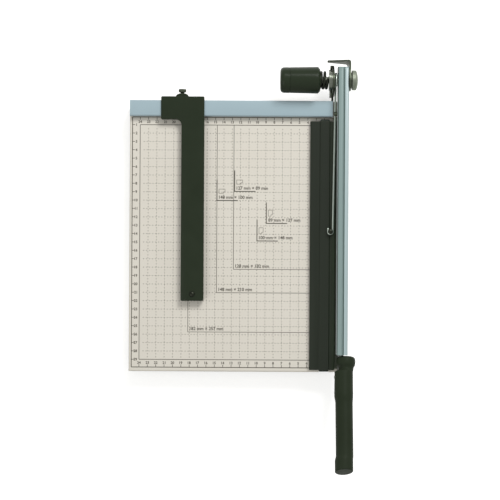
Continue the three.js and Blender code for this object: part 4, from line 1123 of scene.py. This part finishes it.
def spring_line(left, right):
    """The helix: one closed turn, open turns, one closed turn, from the right end to the left."""
    turn = np.linspace(0, OPEN_TURNS + 2, STEPS_PER_TURN * (OPEN_TURNS + 2) + 1)
    closed = np.minimum(turn, 1) + np.maximum(turn - OPEN_TURNS - 1, 0)
    open_pitch = (right - left - 2 * SPRING_WIRE - 2 * CLOSED_PITCH) / OPEN_TURNS
    angle = np.pi / 2 + turn * 2 * np.pi
    along = right - SPRING_WIRE - closed * CLOSED_PITCH - (turn - closed) * open_pitch
    across = SPRING_RADIUS * np.cos(angle), SPRING_RADIUS * np.sin(angle)
    return PIVOT + np.stack([along, *across], axis=-1)


spring_mesh = wire("pivot_spring", spring_line(*span("pivot_spring", "x")), SPRING_WIRE)
spring = stands_for("pivot_spring", spring_mesh, spring_steel)
print("spring:", len(spring.data.polygons), "faces over", OPEN_TURNS + 2, "turns")

# %% [markdown]
# The bolt is one turned profile: a shank, and a head that rises over a straight rim in a low dome.
# A dome is a quarter of an ellipse, its radius falling as a cosine while its height grows as a sine.

# %% The bolt, its washers and the bush
def dome(radius, foot, height, steps=12):
    """A quarter ellipse from (radius, foot) to (0, foot + height): radius * cos a, height * sin a."""
    angle = np.linspace(0, np.pi / 2, steps + 1)
    return np.stack([radius * np.cos(angle), foot + height * np.sin(angle)], axis=-1).tolist()


BOLT_RADIUS = 4.0
BOLT_HEAD_RADIUS = 11.8
BOLT_HEAD_DOME = 3.2
BOLT_TIP_CHAMFER = 0.8
BOLT_RIM_CHAMFER = 0.4

bolt_left, bolt_right = span("pivot_bolt", "x")
head_left = span("bolt_washer", "x")[1] + CLEARANCE
dome_foot = bolt_right - BOLT_HEAD_DOME
bolt_profile = [
    # radius, place along the pivot
    (0.0, bolt_left),
    (BOLT_RADIUS - BOLT_TIP_CHAMFER, bolt_left),
    (BOLT_RADIUS, bolt_left + BOLT_TIP_CHAMFER),
    (BOLT_RADIUS, head_left),
    (BOLT_HEAD_RADIUS - BOLT_RIM_CHAMFER, head_left),
    (BOLT_HEAD_RADIUS, head_left + BOLT_RIM_CHAMFER),
    *dome(BOLT_HEAD_RADIUS, dome_foot, BOLT_HEAD_DOME, steps=16),
]
stands_for("pivot_bolt", turned("pivot_bolt", bolt_profile, "x", PIVOT), zinc_steel)

RING_EASE = 0.25
RING_FINISH = {
    "bolt_washer": zinc_steel,
    "thrust_washer": bright_zinc,
    "pivot_bush": bright_zinc,
    "knob_nut": zinc_steel,
}
for node, finish in RING_FINISH.items():
    eased(node, RING_EASE, finish)
print("bolt:", round(bolt_right - bolt_left, 1), "mm long, with", len(RING_FINISH), "rings on it")

# %% [markdown]
# ## The tension knob
# The knob is a hollow turned cap of black plastic. Its left end is rounded and carries a fine turned
# groove, its mouth tapers in over the spring. The profile runs up the outside, round the mouth, and
# back down the bore to the seat of the threaded insert, so the one closed skin has a real wall.

# %% The knob
KNOB_RADIUS = 15.8
KNOB_END_RADIUS = 15.2
KNOB_END_ROUND = 5.5
KNOB_GROOVE_PLACE = 11.2
KNOB_GROOVE = 0.5
KNOB_MOUTH_RADIUS = 12.8
KNOB_MOUTH_LENGTH = 2.4
KNOB_BORE = 11.5
KNOB_SEAT_RADIUS = 7.8

knob_left, knob_right = span("tension_knob", "x")
nut_left, nut_right = span("knob_nut", "x")
knob_floor = nut_right + CLEARANCE
groove = knob_left + KNOB_GROOVE_PLACE
knob_profile = rounded([
    # radius, place along the pivot, round
    (0.0, knob_left, 0),
    (KNOB_END_RADIUS, knob_left, KNOB_END_ROUND),
    (KNOB_END_RADIUS, groove, 0.2),
    (KNOB_END_RADIUS - KNOB_GROOVE, groove + KNOB_GROOVE / 2, 0.2),
    (KNOB_END_RADIUS, groove + KNOB_GROOVE, 0.2),
    (KNOB_RADIUS, knob_right - KNOB_MOUTH_LENGTH, 0.9),
    (KNOB_MOUTH_RADIUS, knob_right, 0.6),
    (KNOB_BORE, knob_right, 0.3),
    (KNOB_BORE, knob_floor, 0.5),
    (KNOB_SEAT_RADIUS, knob_floor, 0.2),
    (KNOB_SEAT_RADIUS, nut_left - CLEARANCE, 0.2),
    (0.0, nut_left - CLEARANCE, 0),
], steps=8)
knob = stands_for("tension_knob", turned("tension_knob", knob_profile, "x", PIVOT), black_plastic)
print("knob:", len(knob.data.polygons), "faces, its wall", KNOB_RADIUS - KNOB_BORE, "mm")

# %% [markdown]
# ## The handle
# The handle is moulded over the blade's tang. It starts with a collar and a neck, narrows to a waist
# where the fingers lie, and ends in a thicker cap, while its middle wanders a little to the left. The
# end face is not square: it leans back at the top, so that it shows from above. The handle is a stack
# of circles along a tilted axis. Radius and middle are given at a few stations, and between two
# stations they ease over like a cosine, which leaves no kink where the light would catch.

# %% The handle's sizes
HANDLE_TILT = math.radians(16.5)
HANDLE_LENGTH = 138.2
HANDLE_AXIS_START = (-285.567, 46.0)  # along the cut, and above the table
HANDLE_STATIONS = [
    # along, radius, middle from the cutting plane
    (0.0, 10.9, 5.7),
    (5.0, 11.3, 5.9),
    (8.5, 11.1, 5.8),
    (13.0, 8.7, 6.3),
    (15.2, 8.4, 6.3),
    (17.0, 10.9, 3.3),
    (46.0, 11.1, 3.0),
    (55.0, 10.25, 3.3),
    (117.0, 10.25, 3.3),
    (123.6, 10.7, 2.5),
    (HANDLE_LENGTH, 10.7, 2.5),
]
HANDLE_END_ROUNDS = (2.2, 1.2)
TIP_RADIUS = HANDLE_STATIONS[-1][1]
TIP_SLANT = 0.2
TIP_SKEW = 0.05
TIP_REACH = 20.0
HANDLE_SIDES = 80
HANDLE_RINGS = 90
ROUND_RINGS = 9
print("handle:", HANDLE_LENGTH, "mm long, tilted by", round(math.degrees(HANDLE_TILT), 1), "degrees")

# %% [markdown]
# Between two stations the radius must not change in a kink. A straight line between them would leave
# one at each station, so the way from one to the next follows half a wave of a cosine, level at both.

# %% Easing between stations
def eased_between(stations, along):
    """Values at places along an axis, from rows of place and values. Between two rows the share of
    the second grows as (1 - cos(pi t)) / 2."""
    table = np.array(stations, float)
    index = np.clip(np.searchsorted(table[:, 0], along, side="right") - 1, 0, len(table) - 2)
    t = (along - table[index, 0]) / (table[index + 1, 0] - table[index, 0])
    share = ((1 - np.cos(np.pi * t)) / 2)[:, None]
    return (1 - share) * table[index, 1:] + share * table[index + 1, 1:]


# %% [markdown]
# Each circle stands square to the tilted axis. The rims at both ends are quarter circles, as a mould
# leaves them. Over the last two centimetres the circles lean back at the top, more and more, and that
# cuts the end face at a slant without a corner where the lean begins.

# %% The handle
def handle_rings():
    """Circles across the tilted axis: a point at angle a lies radius * cos a to the right of the
    middle and radius * sin a above it. At both ends the radius shrinks along a quarter circle. Over
    the last stretch each point moves back by a share of slant * height over the lowest point, plus
    skew * distance to the side, and that share grows evenly from 0 to 1 at the tip."""
    start_round, tip_round = HANDLE_END_ROUNDS
    quarter = np.linspace(0, np.pi / 2, ROUND_RINGS)
    start = start_round * (1 - np.sin(quarter))[::-1]
    tip = HANDLE_LENGTH - tip_round * (1 - np.sin(quarter))
    body = np.linspace(start_round, HANDLE_LENGTH - tip_round, HANDLE_RINGS)
    along = np.unique(np.round(np.concatenate([start[:-1], body, tip[1:]]), 4))
    radius, middle = eased_between(HANDLE_STATIONS, along).T
    into_start = np.clip(1 - along / start_round, 0, 1)
    into_tip = np.clip(1 - (HANDLE_LENGTH - along) / tip_round, 0, 1)
    radius = radius - start_round * (1 - np.sqrt(1 - into_start**2))
    radius = radius - tip_round * (1 - np.sqrt(1 - into_tip**2))
    angle = np.linspace(0, 2 * np.pi, HANDLE_SIDES, endpoint=False)
    above = radius[:, None] * np.sin(angle)
    aside = radius[:, None] * np.cos(angle)
    share = np.clip(1 - (HANDLE_LENGTH - along) / TIP_REACH, 0, 1)[:, None]
    along = along[:, None] - share * (TIP_SLANT * (above + TIP_RADIUS) + TIP_SKEW * aside)
    x = middle[:, None] + aside
    y = HANDLE_AXIS_START[0] - along * math.cos(HANDLE_TILT) + above * math.sin(HANDLE_TILT)
    z = HANDLE_AXIS_START[1] + along * math.sin(HANDLE_TILT) + above * math.cos(HANDLE_TILT)
    return np.stack([x, y, z], axis=-1)


handle = stands_for("handle_grip", skin("handle_grip", handle_rings()), grip_plastic)
print("handle:", len(handle.data.polygons), "faces")

# %% [markdown]
# ## Rivets, stud and small pins
# Two rivets hold the handle on the tang, one closes the guide's front end, a stud carries the wire's
# hook, and a pin on the arm presses the wire down. All of them are turned, so each is a profile with
# a domed or eased head.

# %% Turned pins and the guide's rivet
PIN_SIDES = 40
HANDLE_PIN_RADIUS = 2.0
HANDLE_PIN_DOME = 0.9

for node in ("handle_pin_1", "handle_pin_2"):
    centre = np.array([sum(span(node, axis)) / 2 for axis in "xyz"])
    half = span(node, "x")[1] - centre[0]
    right_half = dome(HANDLE_PIN_RADIUS, half - HANDLE_PIN_DOME, HANDLE_PIN_DOME, steps=8)
    left_half = [(radius, -place) for radius, place in reversed(right_half)]
    stands_for(node, turned(node, left_half + right_half, "x", centre, PIN_SIDES), zinc_steel)

GUIDE_RIVET_RADIUS = 1.5
GUIDE_RIVET_HEAD = 3.2
GUIDE_RIVET_DOME = 1.8
rivet_low, rivet_high = span("guide_rivet", "z")
rivet_centre = [sum(span("guide_rivet", "x")) / 2, sum(span("guide_rivet", "y")) / 2, 0.0]
rivet_profile = [
    (0.0, rivet_low),
    (GUIDE_RIVET_RADIUS, rivet_low),
    (GUIDE_RIVET_RADIUS, rivet_high - GUIDE_RIVET_DOME),
    *dome(GUIDE_RIVET_HEAD, rivet_high - GUIDE_RIVET_DOME, GUIDE_RIVET_DOME),
]
rivet_mesh = turned("guide_rivet", rivet_profile, "z", rivet_centre, PIN_SIDES)
stands_for("guide_rivet", rivet_mesh, spring_steel)

PRESS_PIN_RADIUS = 2.4
pin_left, pin_right = span("press_pin", "x")
pin_centre = [0.0, sum(span("press_pin", "y")) / 2, sum(span("press_pin", "z")) / 2]
pin_profile = rounded([
    (0.0, pin_left, 0),
    (PRESS_PIN_RADIUS, pin_left, 0.7),
    (PRESS_PIN_RADIUS, pin_right, 0.2),
    (0.0, pin_right, 0),
])
pin_mesh = turned("press_pin", pin_profile, "x", pin_centre, PIN_SIDES)
stands_for("press_pin", pin_mesh, dull_zinc)
print("press pin:", round(pin_right - pin_left, 1), "mm long")

# %% [markdown]
# The hook stud is a spool: a collar under the wire, a neck for the hook, and a flat dome on top.

# %% The hook stud
STUD_NECK = 1.2
STUD_COLLAR = 3.4
STUD_HEAD = 3.0
STUD_CAP = 1.7
WIRE_RADIUS = 1.25
WIRE_COIL_RADIUS = 8.0

wire_height = PIVOT[2] - WIRE_COIL_RADIUS
stud_low, stud_high = span("hook_stud", "z")
rib_top = span("pressure_bar", "z")[1]
collar_top = wire_height - WIRE_RADIUS - CLEARANCE
stud_centre = [sum(span("hook_stud", "x")) / 2, sum(span("hook_stud", "y")) / 2, 0.0]
stud_profile = rounded([
    # radius, height, round
    (0.0, stud_low, 0),
    (STUD_NECK, stud_low, 0),
    (STUD_NECK, rib_top + CLEARANCE, 0),
    (STUD_COLLAR, rib_top + CLEARANCE, 0.2),
    (STUD_COLLAR, collar_top, 0.3),
    (STUD_NECK, collar_top, 0.2),
    (STUD_NECK, stud_high - STUD_CAP, 0.2),
    (STUD_HEAD, stud_high - STUD_CAP, 0.3),
    (STUD_HEAD, stud_high - STUD_CAP / 3, 0.6),
    (STUD_HEAD / 2, stud_high, 1.0),
    (0.0, stud_high, 0),
])
stud_mesh = turned("hook_stud", stud_profile, "z", stud_centre, PIN_SIDES)
stands_for("hook_stud", stud_mesh, spring_steel)
print("stud:", round(stud_high - stud_low, 1), "mm high, the wire at", round(wire_height, 1), "mm")

# %% [markdown]
# The feet are rubber buttons with a shallow ring sunk in the sole, pushed through the tray's rails
# by their heads.

# %% The feet
FOOT_RADIUS = 9.0
FOOT_FLARE = 1.0
FOOT_RING = (4.2, 6.6)
FOOT_RING_DEPTH = 0.8
FOOT_SEAT = 8.7
FOOT_NECK = 3.7
FOOT_HEAD = 5.5
FOOT_HEAD_HEIGHT = 2.2
FOOT_SIDES = 64

feet = sorted(node for node, slot in node_slot.items() if slot == "rubber")
for node in feet:
    centre = [sum(span(node, "x")) / 2, sum(span(node, "y")) / 2, 0.0]
    foot_top = span(node, "z")[1]
    head_foot = foot_top - FOOT_HEAD_HEIGHT
    foot_profile = rounded([
        # radius, height, round
        (0.0, 0.0, 0),
        (FOOT_RING[0], 0.0, 0.3),
        (FOOT_RING[0], FOOT_RING_DEPTH, 0.3),
        (FOOT_RING[1], FOOT_RING_DEPTH, 0.3),
        (FOOT_RING[1], 0.0, 0.3),
        (FOOT_RADIUS, 0.0, 0.5),
        (FOOT_RADIUS + FOOT_FLARE, FOOT_FLARE, 0.5),
        (FOOT_RADIUS, FOOT_SEAT, 0.8),
        (FOOT_NECK, FOOT_SEAT, 0),
        (FOOT_NECK, head_foot, 0),
        (FOOT_HEAD, head_foot, 0.4),
        (FOOT_NECK, foot_top, 0.8),
        (0.0, foot_top, 0),
    ])
    stands_for(node, turned(node, foot_profile, "z", centre, FOOT_SIDES), black_rubber)
print(len(feet), "feet,", round(foot_top, 1), "mm high")

# %% [markdown]
# ## The clamp wire
# One bent wire lifts the clamp bar. It hangs in a hole of the lug, runs over the bush, goes straight
# forward beside the blade, and hooks round the stud. The path joins the same shapes that the maker's
# bending jig has: a quarter bend out of the hole, an arc round the pivot, a straight leg, a half
# circle round the stud and a short end.

# %% The wire's path
WIRE_PLANE = -7.6
WIRE_ANCHOR = math.radians(160.0)
WIRE_ANCHOR_DEPTH = 4.1
WIRE_BEND = 2.0
HOOK_RADIUS = 2.75
HOOK_TAIL = 3.5
BEND_POINTS = 9
ARC_POINTS = 60
LEG_POINTS = 40
HOOK_POINTS = 25


def round_pivot(angle, left):
    """Points round the pivot at the given angles, each some way to the left of the wire's plane."""
    y = PIVOT[1] + WIRE_COIL_RADIUS * np.cos(angle)
    z = PIVOT[2] + WIRE_COIL_RADIUS * np.sin(angle)
    return np.stack([WIRE_PLANE - left + 0 * y, y, z], axis=-1)


def wire_line():
    """The bends one after another, and the straight stretches as rows between two points."""
    turn = np.linspace(0, np.pi / 2, BEND_POINTS)
    bend_angle = WIRE_BEND / WIRE_COIL_RADIUS
    bend_left = WIRE_BEND * (1 - np.sin(turn))
    bend = round_pivot(WIRE_ANCHOR - bend_angle * (1 - np.cos(turn)), bend_left)
    anchor = round_pivot(WIRE_ANCHOR, WIRE_ANCHOR_DEPTH)
    out_of_hole = np.linspace(anchor, bend[0], 4, endpoint=False)
    arc = round_pivot(np.linspace(WIRE_ANCHOR - bend_angle, -np.pi / 2, ARC_POINTS)[1:], 0.0)
    half = np.linspace(0, -np.pi, HOOK_POINTS)
    hook = np.stack([
        stud_centre[0] + HOOK_RADIUS * np.cos(half),
        stud_centre[1] + HOOK_RADIUS * np.sin(half),
        np.full_like(half, wire_height),
    ], axis=-1)
    leg = np.linspace(arc[-1], hook[0], LEG_POINTS)[1:-1]
    tail = np.linspace(hook[-1], hook[-1] + [0.0, HOOK_TAIL, 0.0], 5)[1:]
    return np.concatenate([out_of_hole, bend, arc, leg, hook, tail])


path = wire_line()
stands_for("clamp_wire", wire("clamp_wire", path, WIRE_RADIUS), bright_wire)
print("wire:", round(float(np.linalg.norm(np.diff(path, axis=0), axis=1).sum())), "mm long")

# %% [markdown]
# ## The thumb screw
# The screw that locks the guide has a small ridged head, so that fingers can grip it. Its radius is
# that of a turned part less a sink that swings between nothing and the ridge's depth as the angle
# goes round, and only on the rows of the profile that belong to the head's rim.

# %% The ridged head
THUMB_SHANK = 2.0
THUMB_HEAD = 4.5
THUMB_CONE = 1.0
THUMB_HEAD_LENGTH = 4.3
THUMB_EASE = 0.35
THUMB_RIDGES = 16
THUMB_RIDGE_DEPTH = 0.45
THUMB_SIDES = THUMB_RIDGES * 8

thumb_front, thumb_rear = span("thumb_screw", "y")
thumb_middle = [sum(span("thumb_screw", "x")) / 2, 0.0, sum(span("thumb_screw", "z")) / 2]
head_front = thumb_rear - THUMB_HEAD_LENGTH
thumb_profile = rounded([
    # radius, place along the screw, round
    (0.0, thumb_front, 0),
    (THUMB_SHANK, thumb_front, 0.3),
    (THUMB_SHANK, head_front, 0.2),
    (THUMB_HEAD, head_front + THUMB_CONE, 0.2),
    (THUMB_HEAD, thumb_rear, THUMB_EASE),
    (0.0, thumb_rear, 0),
])
around = np.linspace(0, 2 * np.pi, THUMB_SIDES, endpoint=False)
on_rim = np.clip(thumb_profile[:, :1] - THUMB_HEAD + THUMB_RIDGE_DEPTH, 0, None)
ridges = on_rim * (0.5 - 0.5 * np.cos(THUMB_RIDGES * around))
thumb_rings = turned_rings(thumb_profile, "y", thumb_middle, THUMB_SIDES, ridges)
stands_for("thumb_screw", skin("thumb_screw", thumb_rings), dull_zinc)
print("thumb screw:", THUMB_RIDGES, "ridges,", round(thumb_rear - thumb_front, 1), "mm long")
